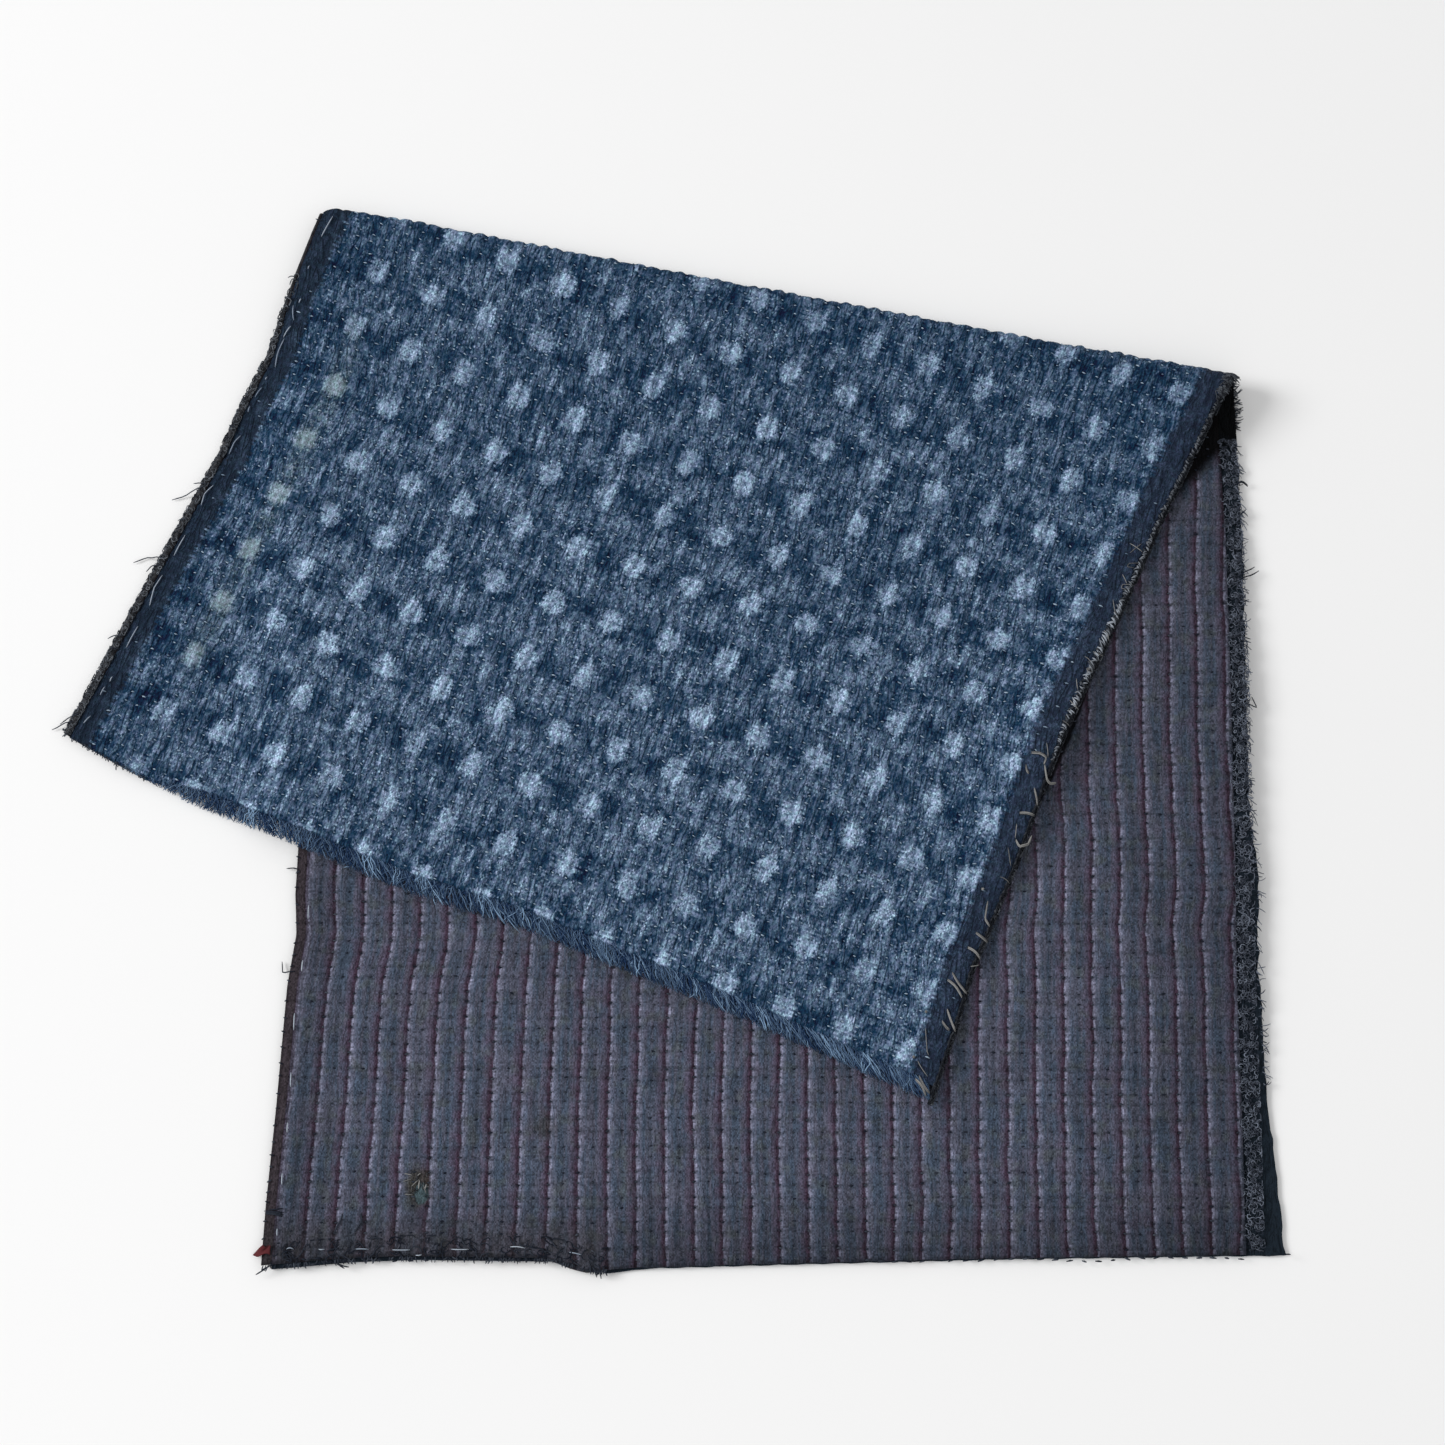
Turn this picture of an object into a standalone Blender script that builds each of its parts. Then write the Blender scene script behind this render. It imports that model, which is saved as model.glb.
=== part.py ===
"""A folded kasuri cloth: two layers quilted together, folded once askew and laid down flat.

The kasuri layer is outside the fold and the striped lining is inside it, so the lower half
shows its lining and the flap on top shows its kasuri. Lengths in the tables are millimetres,
and the model is made in metres.

Cloth places are written as across, the distance right of the cloth's centre line, and along,
the distance from its lower end. On the lower half they are also the place in plan.
"""

import math
import random
from collections import namedtuple

import bmesh
import bpy
from mathutils import Vector

MM = 0.001

# The layers
SHEET = 1.0  # thickness of each cloth
PLY_GAP = 0.3  # between the two cloths
HALF_GAP = PLY_GAP / 2
HALF_STACK = HALF_GAP + SHEET  # from the seam between the cloths to an outer face
RIB_HEIGHT = 0.5  # the lining's quilted ribs
RIB_UNEVEN = 0.2  # share of a rib's height that varies along the cloth
PUCKER_HEIGHT = 0.4  # the kasuri's quilted ridges
PUCKER_UNEVEN = 0.4
FLAP_GAP = 0.35  # between the flap and the ribs that it lies on
FLAP_RISE = 2 * HALF_STACK + RIB_HEIGHT + FLAP_GAP

# The fold: the outermost line of its outer face, and the loop that it makes
FOLD_ANGLE = math.radians(-12.1)
FOLD_ALONG = 365.6  # where the line crosses the centre line
FoldRow = namedtuple("FoldRow", "beside radius settle")
FOLD = (
    FoldRow(-175.0, 2.2, 14.0),
    FoldRow(0.0, 2.8, 20.0),
    FoldRow(110.0, 4.2, 32.0),
    FoldRow(178.0, 6.6, 50.0),
)

# The outline along the cloth: the lining's left edge, the kasuri's right edge, how far inside it
# the lining's frayed side ends, and how far the right edge stands up
EdgeRow = namedtuple("EdgeRow", "along left right fray_in lift")
EDGES = (
    EdgeRow(0.0, -175.4, 172.3, 7.5, 0.0),
    EdgeRow(20.0, -174.8, 171.4, 6.1, 0.0),
    EdgeRow(54.0, -172.9, 169.4, 2.8, 0.2),
    EdgeRow(97.0, -171.1, 168.6, 1.2, 2.0),
    EdgeRow(116.0, -168.7, 168.7, 0.6, 2.6),
    EdgeRow(130.0, -169.8, 170.4, 1.5, 2.8),
    EdgeRow(163.0, -169.3, 168.8, -1.2, 3.2),
    EdgeRow(215.0, -169.5, 169.9, -1.8, 3.4),
    EdgeRow(268.0, -170.1, 172.3, -0.9, 1.0),
    EdgeRow(322.0, -170.7, 172.5, -0.3, 0.0),
    EdgeRow(395.5, -171.9, 168.6, 0.0, 0.0),
    EdgeRow(440.5, -166.5, 168.3, 0.0, 0.5),
    EdgeRow(467.5, -162.6, 167.5, 0.0, 4.0),
    EdgeRow(489.5, -163.0, 167.2, 0.0, 6.5),
    EdgeRow(509.5, -161.4, 167.9, 0.0, 4.4),
    EdgeRow(540.5, -161.6, 169.8, 0.0, 0.6),
    EdgeRow(580.5, -161.9, 170.3, 0.0, 0.3),
    EdgeRow(600.5, -161.6, 172.8, 0.0, 1.0),
    EdgeRow(635.5, -161.8, 175.8, 0.0, 1.6),
)
LIFT_REACH = 30.0  # how far in from the edge a lift is felt

# The two ends, read across the width from 0 at the left to 1 at the right
EndRow = namedtuple("EndRow", "share along")
LOWER_END = (
    EndRow(0.0, -1.4),
    EndRow(0.08, 1.0),
    EndRow(0.14, 1.8),
    EndRow(0.28, 1.2),
    EndRow(0.33, -2.8),
    EndRow(0.37, -1.0),
    EndRow(0.53, 0.5),
    EndRow(0.72, 2.1),
    EndRow(1.0, 3.4),
)
FLAP_END = (
    EndRow(0.0, 631.2),
    EndRow(0.07, 633.5),
    EndRow(0.15, 635.6),
    EndRow(0.3, 635.1),
    EndRow(0.41, 634.1),
    EndRow(0.52, 629.9),
    EndRow(0.74, 628.6),
    EndRow(1.0, 630.3),
)

# The kasuri's frayed end and the lining's frayed side
HEM_TURN = 2.0  # the lining stands out past the kasuri on the left
STRIP = 1.4  # the woven strip that carries the loose yarns
STRIP_GAP = 0.6  # between a strip and the cloth that it is parted from
END_FRAY = 5.6  # from the kasuri's cut edge to the tips of its yarns
END_FRAY_START = 0.17  # share of the width where the fray begins
END_FRAY_TAPER = 0.015  # share of the width over which the cut edge steps back for it
END_YARNS, SIDE_YARNS = 58, 46
YARN_LENGTH = (0.72, 1.0)  # share of the fray's depth
YARN_LEAN = 0.9  # how far a tip strays along the edge
YARN_SAG = (0.5, 0.9)
YARN_TAPER = 0.45
CURL_RISE = (0.3, 0.7)
CURL_LEAN = (0.5, 1.6)  # along the edge, at a curl's first and second step
CURL_REACH = (0.6, 0.35)  # share of a yarn's length in each step
CURL_TAPER = (0.8, 0.6)
SIDE_FRAY = 7.2
SIDE_FRAY_ALONG = (4.0, 316.0)
SIDE_FRAY_FADE = (322.0, 16.0)  # where the lining's side runs out to the kasuri's edge again
UNDER_FLAP = 0.6  # the lining's right edge is this far inside the kasuri's on the flap
LINING_SHORT = 0.8  # the lining's end is this far inside the kasuri's on the flap

# How the flap comes down from the lower half's left edge to the table
EDGE_CLEAR = 1.2  # extra rise over that edge
EDGE_SPREAD = 14.0
STEP_START = 5.0  # how far outside the edge the flap starts down
STEP_LENGTH = 24.0
SOFT_WAVE = 0.45  # the flap's low uneven swells
SWELL_SPAN = (27.0, 34.0, 90.0)  # across, along, and how far one leans on the other
SWELL_START = 1.1

# The grid of each sheet: a rib takes two columns
COLUMNS = 70
BASE_ROWS, BEND_ROWS, SETTLE_ROWS, FLAP_ROWS = 6, 6, 3, 8


def blend(low, high, share):
    return low + share * (high - low)


def smooth(share):
    share = min(max(share, 0.0), 1.0)
    return share * share * (3.0 - 2.0 * share)


def read(table, key, column, place):
    """Gives a table's column at a place between its rows."""
    for low, high in zip(table, table[1:]):
        if place <= getattr(high, key):
            break
    start, end = getattr(low, key), getattr(high, key)
    share = min(max((place - start) / (end - start), 0.0), 1.0)
    return blend(getattr(low, column), getattr(high, column), share)


def edge(column, along):
    return read(EDGES, "along", column, along)


FOLD_WAY = Vector((math.cos(FOLD_ANGLE), math.sin(FOLD_ANGLE)))
FOLD_OUT = Vector((-FOLD_WAY.y, FOLD_WAY.x))


def fold_at(across, along):
    """Gives the loop's radius and settling length, and how far the place is past the crease."""
    place = Vector((across, along - FOLD_ALONG))
    beside = place.dot(FOLD_WAY)
    radius = read(FOLD, "beside", "radius", beside)
    settle = read(FOLD, "beside", "settle", beside)
    crease = (math.pi / 2 - 1) * radius - HALF_STACK
    return radius, settle, place.dot(FOLD_OUT) - crease


def rest_height(across, along):
    """Height of the flap over the table's own level, where it lies on the lower half or beside it."""
    outside = edge("left", along) - across
    on_base = 1.0 - smooth((outside - STEP_START) / STEP_LENGTH)
    over_edge = EDGE_CLEAR * math.exp(-((outside / EDGE_SPREAD) ** 2))
    swell_across = math.sin(across / SWELL_SPAN[0] + SWELL_START)
    swell_along = math.sin(along / SWELL_SPAN[1] + across / SWELL_SPAN[2])
    swell = SOFT_WAVE * (1.0 + swell_across * swell_along) / 2
    return (FLAP_RISE + swell) * on_base + over_edge


def lay(across, along):
    """Lays a place of the seam between the two cloths: its place in the folded part."""
    radius, settle, past = fold_at(across, along)
    half_bend = math.pi * radius / 2
    inward = edge("right", along) - across
    lift = edge("lift", along) * (1.0 - smooth(inward / LIFT_REACH))
    if past <= -half_bend:
        return Vector((across, along, HALF_STACK + lift))
    if past < half_bend:
        turn = (past + half_bend) / radius
        reach = radius * math.sin(turn) - half_bend
        height = radius * (1.0 - math.cos(turn))
    else:
        reach = -past
        height = 2 * radius
    plan = Vector((across, along)) + FOLD_OUT * (reach - past)
    if past >= half_bend:
        settled = smooth((past - half_bend) / settle)
        height = blend(height, rest_height(plan.x, plan.y), settled)
    return Vector((plan.x, plan.y, HALF_STACK + height + lift))


def lay_off(across, along, offset):
    """The same place moved out of the seam: positive towards the lining."""
    step = 0.2
    way_across = lay(across + step, along) - lay(across - step, along)
    way_along = lay(across, along + step) - lay(across, along - step)
    out = way_across.cross(way_along).normalized()
    return lay(across, along) + out * offset


def to_metres(place):
    return Vector((round(place.x, 4), round(place.y, 4), round(place.z, 4))) * MM


def along_past_fold(left, right, share, past_of):
    """Finds where a line down the cloth, at a share of its width, is at a distance past the crease."""
    along = FOLD_ALONG
    for _ in range(6):
        across = blend(left(along), right(along), share)
        radius, settle, past = fold_at(across, along)
        along += (past_of(radius, settle) - past) / FOLD_OUT.y
    return along


def sheet_rows(left, right, start, end, share):
    """The rows of a sheet down one line: the lower half, the bend, its settling and the flap."""
    def find(past_of):
        return along_past_fold(left, right, share, past_of)

    bend_start = find(lambda radius, settle: -math.pi * radius / 2)
    settled = find(lambda radius, settle: math.pi * radius / 2 + settle)
    rows = [blend(start, bend_start, row / BASE_ROWS) for row in range(BASE_ROWS)]
    for row in range(BEND_ROWS + 1):
        turn = math.pi * (row / BEND_ROWS - 0.5)
        rows.append(find(lambda radius, settle: radius * turn))
    for row in range(1, SETTLE_ROWS + 1):
        part = row / SETTLE_ROWS
        rows.append(find(lambda radius, settle: math.pi * radius / 2 + settle * part))
    for row in range(1, FLAP_ROWS + 1):
        rows.append(blend(settled, end, row / FLAP_ROWS))
    return rows


def flat_material(name, colour, roughness):
    material = bpy.data.materials.new(name)
    material.use_nodes = True
    shader = material.node_tree.nodes["Principled BSDF"]
    shader.inputs["Base Color"].default_value = (*colour, 1.0)
    shader.inputs["Roughness"].default_value = roughness
    shader.inputs["Metallic"].default_value = 0.0
    return material


def finish(name, bm, collection, material):
    bmesh.ops.recalc_face_normals(bm, faces=bm.faces)
    if bm.calc_volume(signed=True) < 0:
        bmesh.ops.reverse_faces(bm, faces=bm.faces)
    mesh = bpy.data.meshes.new(name)
    bm.to_mesh(mesh)
    bm.free()
    mesh.materials.append(material)
    piece = bpy.data.objects.new(name, mesh)
    collection.objects.link(piece)
    return piece


def two_faced_grid(columns, rows, inner, outer):
    """A grid drawn out into a closed sheet, its two faces placed by column and row."""
    bm = bmesh.new()
    bmesh.ops.create_grid(bm, x_segments=columns, y_segments=rows, size=0.5)
    cells = {
        vert: (round((vert.co.x + 0.5) * columns), round((vert.co.y + 0.5) * rows))
        for vert in bm.verts
    }
    drawn = bmesh.ops.extrude_face_region(bm, geom=bm.faces[:], use_keep_orig=True)
    for vert in drawn["geom"]:
        if isinstance(vert, bmesh.types.BMVert):
            column, row = round((vert.co.x + 0.5) * columns), round((vert.co.y + 0.5) * rows)
            vert.co = to_metres(outer(column, row))
    for vert, (column, row) in cells.items():
        vert.co = to_metres(inner(column, row))
    return bm


def cloth_sheet(name, collection, material, left, right, start, end, inner_offset, face_offset):
    """A sheet of the folded cloth between its outline's edges."""
    shares = [column / COLUMNS for column in range(COLUMNS + 1)]
    lines = [sheet_rows(left, right, start(share), end(share), share) for share in shares]

    def place(column, row, offset):
        along = lines[column][row]
        across = blend(left(along), right(along), shares[column])
        return lay_off(across, along, offset)

    row_count = len(lines[0]) - 1
    bm = two_faced_grid(
        COLUMNS,
        row_count,
        lambda column, row: place(column, row, inner_offset),
        lambda column, row: place(column, row, face_offset(column, row)),
    )
    return finish(name, bm, collection, material)


def on_rib(column):
    return column % 2 == 1


def uneven(amount, column, row):
    """Varies a height from rib to rib and along each rib, up to 1."""
    return 1.0 - amount * (1.0 + math.sin(1.9 * column + 2.7 * row)) / 2


def lining_face(column, row):
    """The lining's ribs stand up on the lower half and die away at the bend."""
    if on_rib(column) and row < BASE_ROWS:
        return HALF_STACK + RIB_HEIGHT * uneven(RIB_UNEVEN, column, row)
    return HALF_STACK


def kasuri_face(column, row):
    """The kasuri puckers along its quilting on the bend and the flap, and is flat underneath."""
    if on_rib(column) and row > BASE_ROWS + 1:
        return -HALF_STACK - PUCKER_HEIGHT * uneven(PUCKER_UNEVEN, column, row)
    return -HALF_STACK


def kasuri_left(along):
    return edge("left", along) + HEM_TURN


def kasuri_right(along):
    return edge("right", along)


def fray_share(share):
    """How much of the fray's depth is taken off the kasuri's end at a share of the width."""
    return smooth((share - END_FRAY_START + END_FRAY_TAPER) / END_FRAY_TAPER)


def kasuri_end(share):
    return read(FLAP_END, "share", "along", share) - END_FRAY * fray_share(share)


def lower_end(share):
    return read(LOWER_END, "share", "along", share)


def lining_left(along):
    return edge("left", along)


def lining_right(along):
    """The lining stops short of its frayed side on the lower half."""
    frayed = 1.0 - smooth((along - SIDE_FRAY_FADE[0]) / SIDE_FRAY_FADE[1])
    short = blend(UNDER_FLAP, SIDE_FRAY + edge("fray_in", along), frayed)
    return edge("right", along) - short


def lining_end(share):
    return kasuri_end(share) - LINING_SHORT


def frayed_strip(name, collection, material, yarns, root, tip, level):
    """A woven strip with loose yarns drawn out of its outer side.

    root(share, out) lays the strip's places, and tip(share, rng) gives a yarn's steps.
    """
    rng = random.Random(name)
    cells = 2 * yarns + 1

    def place(column, row, offset):
        return root(column / cells, row * STRIP, offset)

    bm = two_faced_grid(
        cells,
        1,
        lambda column, row: place(column, row, level[0]),
        lambda column, row: place(column, row, level[1]),
    )
    bm.faces.ensure_lookup_table()
    for yarn in range(yarns):
        share = (2 * yarn + 1.5) / cells
        middle = to_metres((root(share, STRIP, level[0]) + root(share, STRIP, level[1])) / 2)
        side = min(bm.faces, key=lambda face: (face.calc_center_median() - middle).length)
        for move, size in tip(share, rng):
            drawn = bmesh.ops.extrude_discrete_faces(bm, faces=[side])
            side = drawn["faces"][0]
            centre = side.calc_center_median()
            for vert in side.verts:
                vert.co = centre + (vert.co - centre) * size + move * MM
    return finish(name, bm, collection, material)


def end_fray_root(share, out, offset):
    """Places on the strip below the kasuri's cut end, from left to right."""
    width_share = blend(END_FRAY_START, 1.0, share)
    along = read(FLAP_END, "share", "along", width_share) - END_FRAY + STRIP_GAP + out
    across = blend(kasuri_left(along), kasuri_right(along), width_share)
    return lay_off(across, along, offset)


def end_fray_tip(share, rng):
    """One yarn lock, sagging to what the flap lies on."""
    here = end_fray_root(share, STRIP, -HALF_GAP)
    way = (end_fray_root(share, STRIP + 1.0, -HALF_GAP) - here).normalized()
    beside = Vector((way.y, -way.x, 0.0))
    length = (END_FRAY - STRIP_GAP - STRIP) * rng.uniform(*YARN_LENGTH)
    lean = beside * rng.uniform(-YARN_LEAN, YARN_LEAN)
    sag = Vector((0.0, 0.0, -rng.uniform(*YARN_SAG)))
    return [(way * length + lean + sag, YARN_TAPER)]


def side_fray_root(share, out, offset):
    """Places on the strip beside the lining's right edge, from the lower end up."""
    along = blend(*SIDE_FRAY_ALONG, share)
    across = edge("right", along) - edge("fray_in", along) - SIDE_FRAY + STRIP_GAP + out
    return lay_off(across, along, offset)


def side_fray_tip(share, rng):
    """One curled yarn lock: out from the strip, then turned along it."""
    here = side_fray_root(share, STRIP, HALF_GAP)
    way = (side_fray_root(share, STRIP + 1.0, HALF_GAP) - here).normalized()
    up_cloth = Vector((-way.y, way.x, 0.0))
    length = SIDE_FRAY - STRIP_GAP - STRIP
    steps = []
    for lean, reach, taper in zip(CURL_LEAN, CURL_REACH, CURL_TAPER):
        move = way * length * reach + up_cloth * rng.uniform(-lean, lean)
        steps.append((move, taper))
    steps[0][0].z += rng.uniform(*CURL_RISE)
    return steps


def centre_on_table(pieces):
    """Moves the meshes so that the middle of their shared box is over the origin."""
    places = [vert.co for piece in pieces for vert in piece.data.vertices]
    middle = Vector(
        (
            (min(place.x for place in places) + max(place.x for place in places)) / 2,
            (min(place.y for place in places) + max(place.y for place in places)) / 2,
            0.0,
        )
    )
    for piece in pieces:
        for vert in piece.data.vertices:
            vert.co -= middle


def build():
    for old in list(bpy.data.objects):
        bpy.data.objects.remove(old)
    collection = bpy.data.collections.new("folded_kasuri_cloth")
    bpy.context.scene.collection.children.link(collection)
    kasuri_blue = flat_material("kasuri_indigo", (0.05, 0.10, 0.19), 0.95)
    lining_slate = flat_material("lining_slate", (0.075, 0.078, 0.10), 0.95)
    end_blue = flat_material("end_yarn_blue", (0.05, 0.13, 0.27), 0.95)
    side_grey = flat_material("side_yarn_grey", (0.09, 0.11, 0.15), 0.95)
    pieces = [
        cloth_sheet(
            "kasuri_panel", collection, kasuri_blue,
            kasuri_left, kasuri_right, lower_end, kasuri_end, -HALF_GAP, kasuri_face,
        ),
        cloth_sheet(
            "lining_panel", collection, lining_slate,
            lining_left, lining_right, lower_end, lining_end, HALF_GAP, lining_face,
        ),
        frayed_strip(
            "kasuri_end_fray", collection, end_blue, END_YARNS,
            end_fray_root, end_fray_tip, (-HALF_GAP, -HALF_STACK),
        ),
        frayed_strip(
            "lining_side_fray", collection, side_grey, SIDE_YARNS,
            side_fray_root, side_fray_tip, (HALF_GAP, HALF_STACK),
        ),
    ]
    centre_on_table(pieces)


build()
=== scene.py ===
# A folded kasuri cloth: indigo kasuri quilted to a striped lining, folded once askew and laid flat.
# Tables and settings are in millimetres. Meshes are in metres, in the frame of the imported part.
# "across" is measured from the cloth's centre line and "along" from its lower end.
import math
import random

import bmesh
import bpy
import numpy as np
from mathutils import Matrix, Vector


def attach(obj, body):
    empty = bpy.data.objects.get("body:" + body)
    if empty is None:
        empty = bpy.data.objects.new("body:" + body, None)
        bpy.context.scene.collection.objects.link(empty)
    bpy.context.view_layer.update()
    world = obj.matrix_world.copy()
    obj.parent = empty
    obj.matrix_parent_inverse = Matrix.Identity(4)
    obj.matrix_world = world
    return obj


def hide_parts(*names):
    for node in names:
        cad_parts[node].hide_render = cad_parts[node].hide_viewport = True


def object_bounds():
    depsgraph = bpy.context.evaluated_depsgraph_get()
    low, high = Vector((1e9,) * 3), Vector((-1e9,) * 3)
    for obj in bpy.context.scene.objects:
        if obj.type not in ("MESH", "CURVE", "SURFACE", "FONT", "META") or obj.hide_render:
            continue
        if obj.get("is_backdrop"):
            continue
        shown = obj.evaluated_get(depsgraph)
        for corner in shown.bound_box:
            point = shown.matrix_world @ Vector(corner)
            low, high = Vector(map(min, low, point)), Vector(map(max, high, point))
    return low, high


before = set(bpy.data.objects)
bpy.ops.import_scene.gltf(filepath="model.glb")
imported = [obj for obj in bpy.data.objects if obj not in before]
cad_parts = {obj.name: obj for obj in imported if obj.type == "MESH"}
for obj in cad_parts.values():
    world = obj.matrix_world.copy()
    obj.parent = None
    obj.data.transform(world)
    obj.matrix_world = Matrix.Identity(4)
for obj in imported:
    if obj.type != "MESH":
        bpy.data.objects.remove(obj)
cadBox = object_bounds()
mm = 0.001

print("Camera, floor and light")
view = {
    "aim": (0.0226, -0.0046),  # the floor point in the middle of the picture
    "tilt": 19.0,
    "distance": 1.086,
    "lens": 75.0,
    "floorSize": 6.0,
    "floorDrop": 0.0003,
    "floorColour": (0.88, 0.88, 0.88),
    "roomLight": 0.57,
}


def addObject(name, data):
    item = bpy.data.objects.new(name, data)
    bpy.context.scene.collection.objects.link(item)
    return item


def meshOf(bm, name):
    mesh = bpy.data.meshes.new(name)
    bm.to_mesh(mesh)
    bm.free()
    return mesh


def setValues(mesh, name, values):
    attribute = mesh.attributes.new(name, "FLOAT", "POINT")
    attribute.data.foreach_set("value", values.astype(np.float32))


def makeCamera():
    data = bpy.data.cameras.new("camera")
    data.lens = view["lens"]
    data.sensor_width = 36.0
    data.clip_start = 0.01
    camera = addObject("camera", data)
    tilt = math.radians(view["tilt"])
    x, y = view["aim"]
    away = view["distance"]
    camera.location = (x, y - away * math.sin(tilt), away * math.cos(tilt))
    camera.rotation_euler = (tilt, 0.0, 0.0)
    bpy.context.scene.camera = camera


def makeFloor():
    bm = bmesh.new()
    bmesh.ops.create_grid(bm, x_segments=1, y_segments=1, size=view["floorSize"] / 2)
    bmesh.ops.translate(bm, verts=bm.verts, vec=(0.0, 0.0, -view["floorDrop"]))
    mesh = meshOf(bm, "floor")
    material = bpy.data.materials.new("paleFloor")
    material.use_nodes = True
    shader = material.node_tree.nodes["Principled BSDF"]
    shader.inputs["Base Color"].default_value = (*view["floorColour"], 1.0)
    shader.inputs["Roughness"].default_value = 0.9
    mesh.materials.append(material)
    floor = addObject("floor", mesh)
    floor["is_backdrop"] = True


lights = (
    {"name": "key", "place": (-3.3, 0.3, 2.3), "size": 1.7, "power": 125.0},
    {"name": "fill", "place": (0.6, -0.9, 1.6), "size": 1.6, "power": 3.0},
)


def makeLights():
    for row in lights:
        data = bpy.data.lights.new(row["name"], "AREA")
        data.size = row["size"]
        data.energy = row["power"]
        light = addObject(row["name"], data)
        light.location = row["place"]
        light.rotation_euler = (-Vector(row["place"])).to_track_quat("-Z", "Y").to_euler()
    world = bpy.data.worlds.new("softRoom")
    world.use_nodes = True
    background = world.node_tree.nodes["Background"]
    background.inputs["Color"].default_value = (1.0, 1.0, 1.0, 1.0)
    background.inputs["Strength"].default_value = view["roomLight"]
    bpy.context.scene.world = world
    bpy.context.scene.view_settings.view_transform = "Standard"


makeCamera()
makeFloor()
makeLights()

print("The cloth's lay")
cloth = {
    "middle": (-41.5713, 199.5881),  # the cloth's place that lies over the origin
    "width": 340.0,  # nominal width, for the pattern's coordinates
    "halfGap": 0.15,
    "halfStack": 1.15,
    "ribHeight": 0.5,
    "flapGap": 0.35,
    "foldAngle": -12.1,
    "foldAlong": 365.6,
    "liftReach": 30.0,
    "edgeClear": 1.2,
    "edgeSpread": 14.0,
    "stepStart": 5.0,
    "stepLength": 24.0,
    "softWave": 0.45,
    "endFray": 5.6,
    "endFrayStart": 0.17,
    "endFrayTaper": 0.08,
    "sideFray": 7.2,
    "sideFrayFade": (322.0, 16.0),
    "underFlap": 0.6,
    "ruffle": 1.5,
    "liningShort": 0.8,
    "cornerRound": (2.6, 3.5),  # how far the fold's left corner is rounded off, and over what length
    "cornerAt": -175,  # where that corner lies beside the fold's middle
    "cornerBend": 9,  # and how far it is felt past the crease
    "ruffleEnd": (300, 10),  # where the ruffle stops, and over what length
    "ruffleLength": 3.3,
}
foldTable = {
    "beside": (-175.0, 0.0, 110.0, 178.0),
    "radius": (2.2, 2.8, 4.2, 6.6),
    "settle": (14.0, 20.0, 32.0, 50.0),
}
edgeTable = {
    "along": (
        0, 20, 54, 97, 116, 130, 163, 215, 268, 322,
        395.5, 440.5, 467.5, 489.5, 509.5, 540.5, 580.5, 600.5, 635.5,
    ),
    "left": (
        -175.4, -174.8, -172.9, -171.1, -168.7, -169.8, -169.3, -169.5, -170.1, -170.7,
        -171.9, -166.5, -162.6, -163, -161.4, -161.6, -161.9, -161.6, -161.8,
    ),
    "right": (
        172.3, 171.4, 169.4, 168.6, 168.7, 170.4, 168.8, 169.9, 172.3, 172.5,
        168.6, 168.3, 167.5, 167.2, 167.9, 169.8, 170.3, 172.8, 175.8,
    ),
    "frayIn": (
        6.3, 5.0, 2.1, 0.7, 0.2, 1.1, -1.4, -1.9, -0.9, -0.3,
        0, 0, 0, 0, 0, 0, 0, 0, 0,
    ),
    "lift": (
        0, 0, 0.2, 2, 2.6, 2.8, 3.2, 3.4, 1, 0,
        0, 0.5, 4, 6.5, 4.4, 0.6, 0.3, 1, 1.6,
    ),
}
lowerEndTable = {
    "share": (0, 0.08, 0.14, 0.28, 0.33, 0.37, 0.53, 0.72, 1),
    "along": (-1.4, 1, 1.8, 1.2, -2.8, -1, 0.5, 2.1, 3.4),
}
flapEndTable = {
    "share": (0, 0.07, 0.15, 0.3, 0.41, 0.52, 0.74, 1),
    "along": (631.2, 633.5, 635.6, 635.1, 634.1, 629.9, 628.6, 630.3),
}
hemTable = {
    "along": (330, 385, 430, 470),
    "turn": (3.4, 1.2, 1.2, 2.9),  # how far the lining stands out past the kasuri on the left
}
foldWay = np.array((math.cos(math.radians(cloth["foldAngle"])), math.sin(math.radians(cloth["foldAngle"]))))
foldOut = np.array((-foldWay[1], foldWay[0]))


def blend(low, high, share):
    return low + share * (high - low)


def smooth(share):
    share = np.clip(share, 0.0, 1.0)
    return share * share * (3.0 - 2.0 * share)


def edgeLine(column, along):
    return np.interp(along, edgeTable["along"], edgeTable[column])


def foldAt(across, along):
    # The loop's radius and settling length, and how far the place is past the crease
    up = along - cloth["foldAlong"]
    beside = across * foldWay[0] + up * foldWay[1]
    radius = np.interp(beside, foldTable["beside"], foldTable["radius"])
    settle = np.interp(beside, foldTable["beside"], foldTable["settle"])
    crease = (math.pi / 2 - 1) * radius - cloth["halfStack"]
    return radius, settle, across * foldOut[0] + up * foldOut[1] - crease


def restHeight(x, y):
    rise = 2 * cloth["halfStack"] + cloth["ribHeight"] + cloth["flapGap"]
    outside = edgeLine("left", y) - x
    onBase = 1 - smooth((outside - cloth["stepStart"]) / cloth["stepLength"])
    overEdge = cloth["edgeClear"] * np.exp(-((outside / cloth["edgeSpread"]) ** 2))
    swell = cloth["softWave"] * (1 + np.sin(x / 27 + 1.1) * np.sin(y / 34 + x / 90)) / 2
    return (rise + swell) * onBase + overEdge


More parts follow.
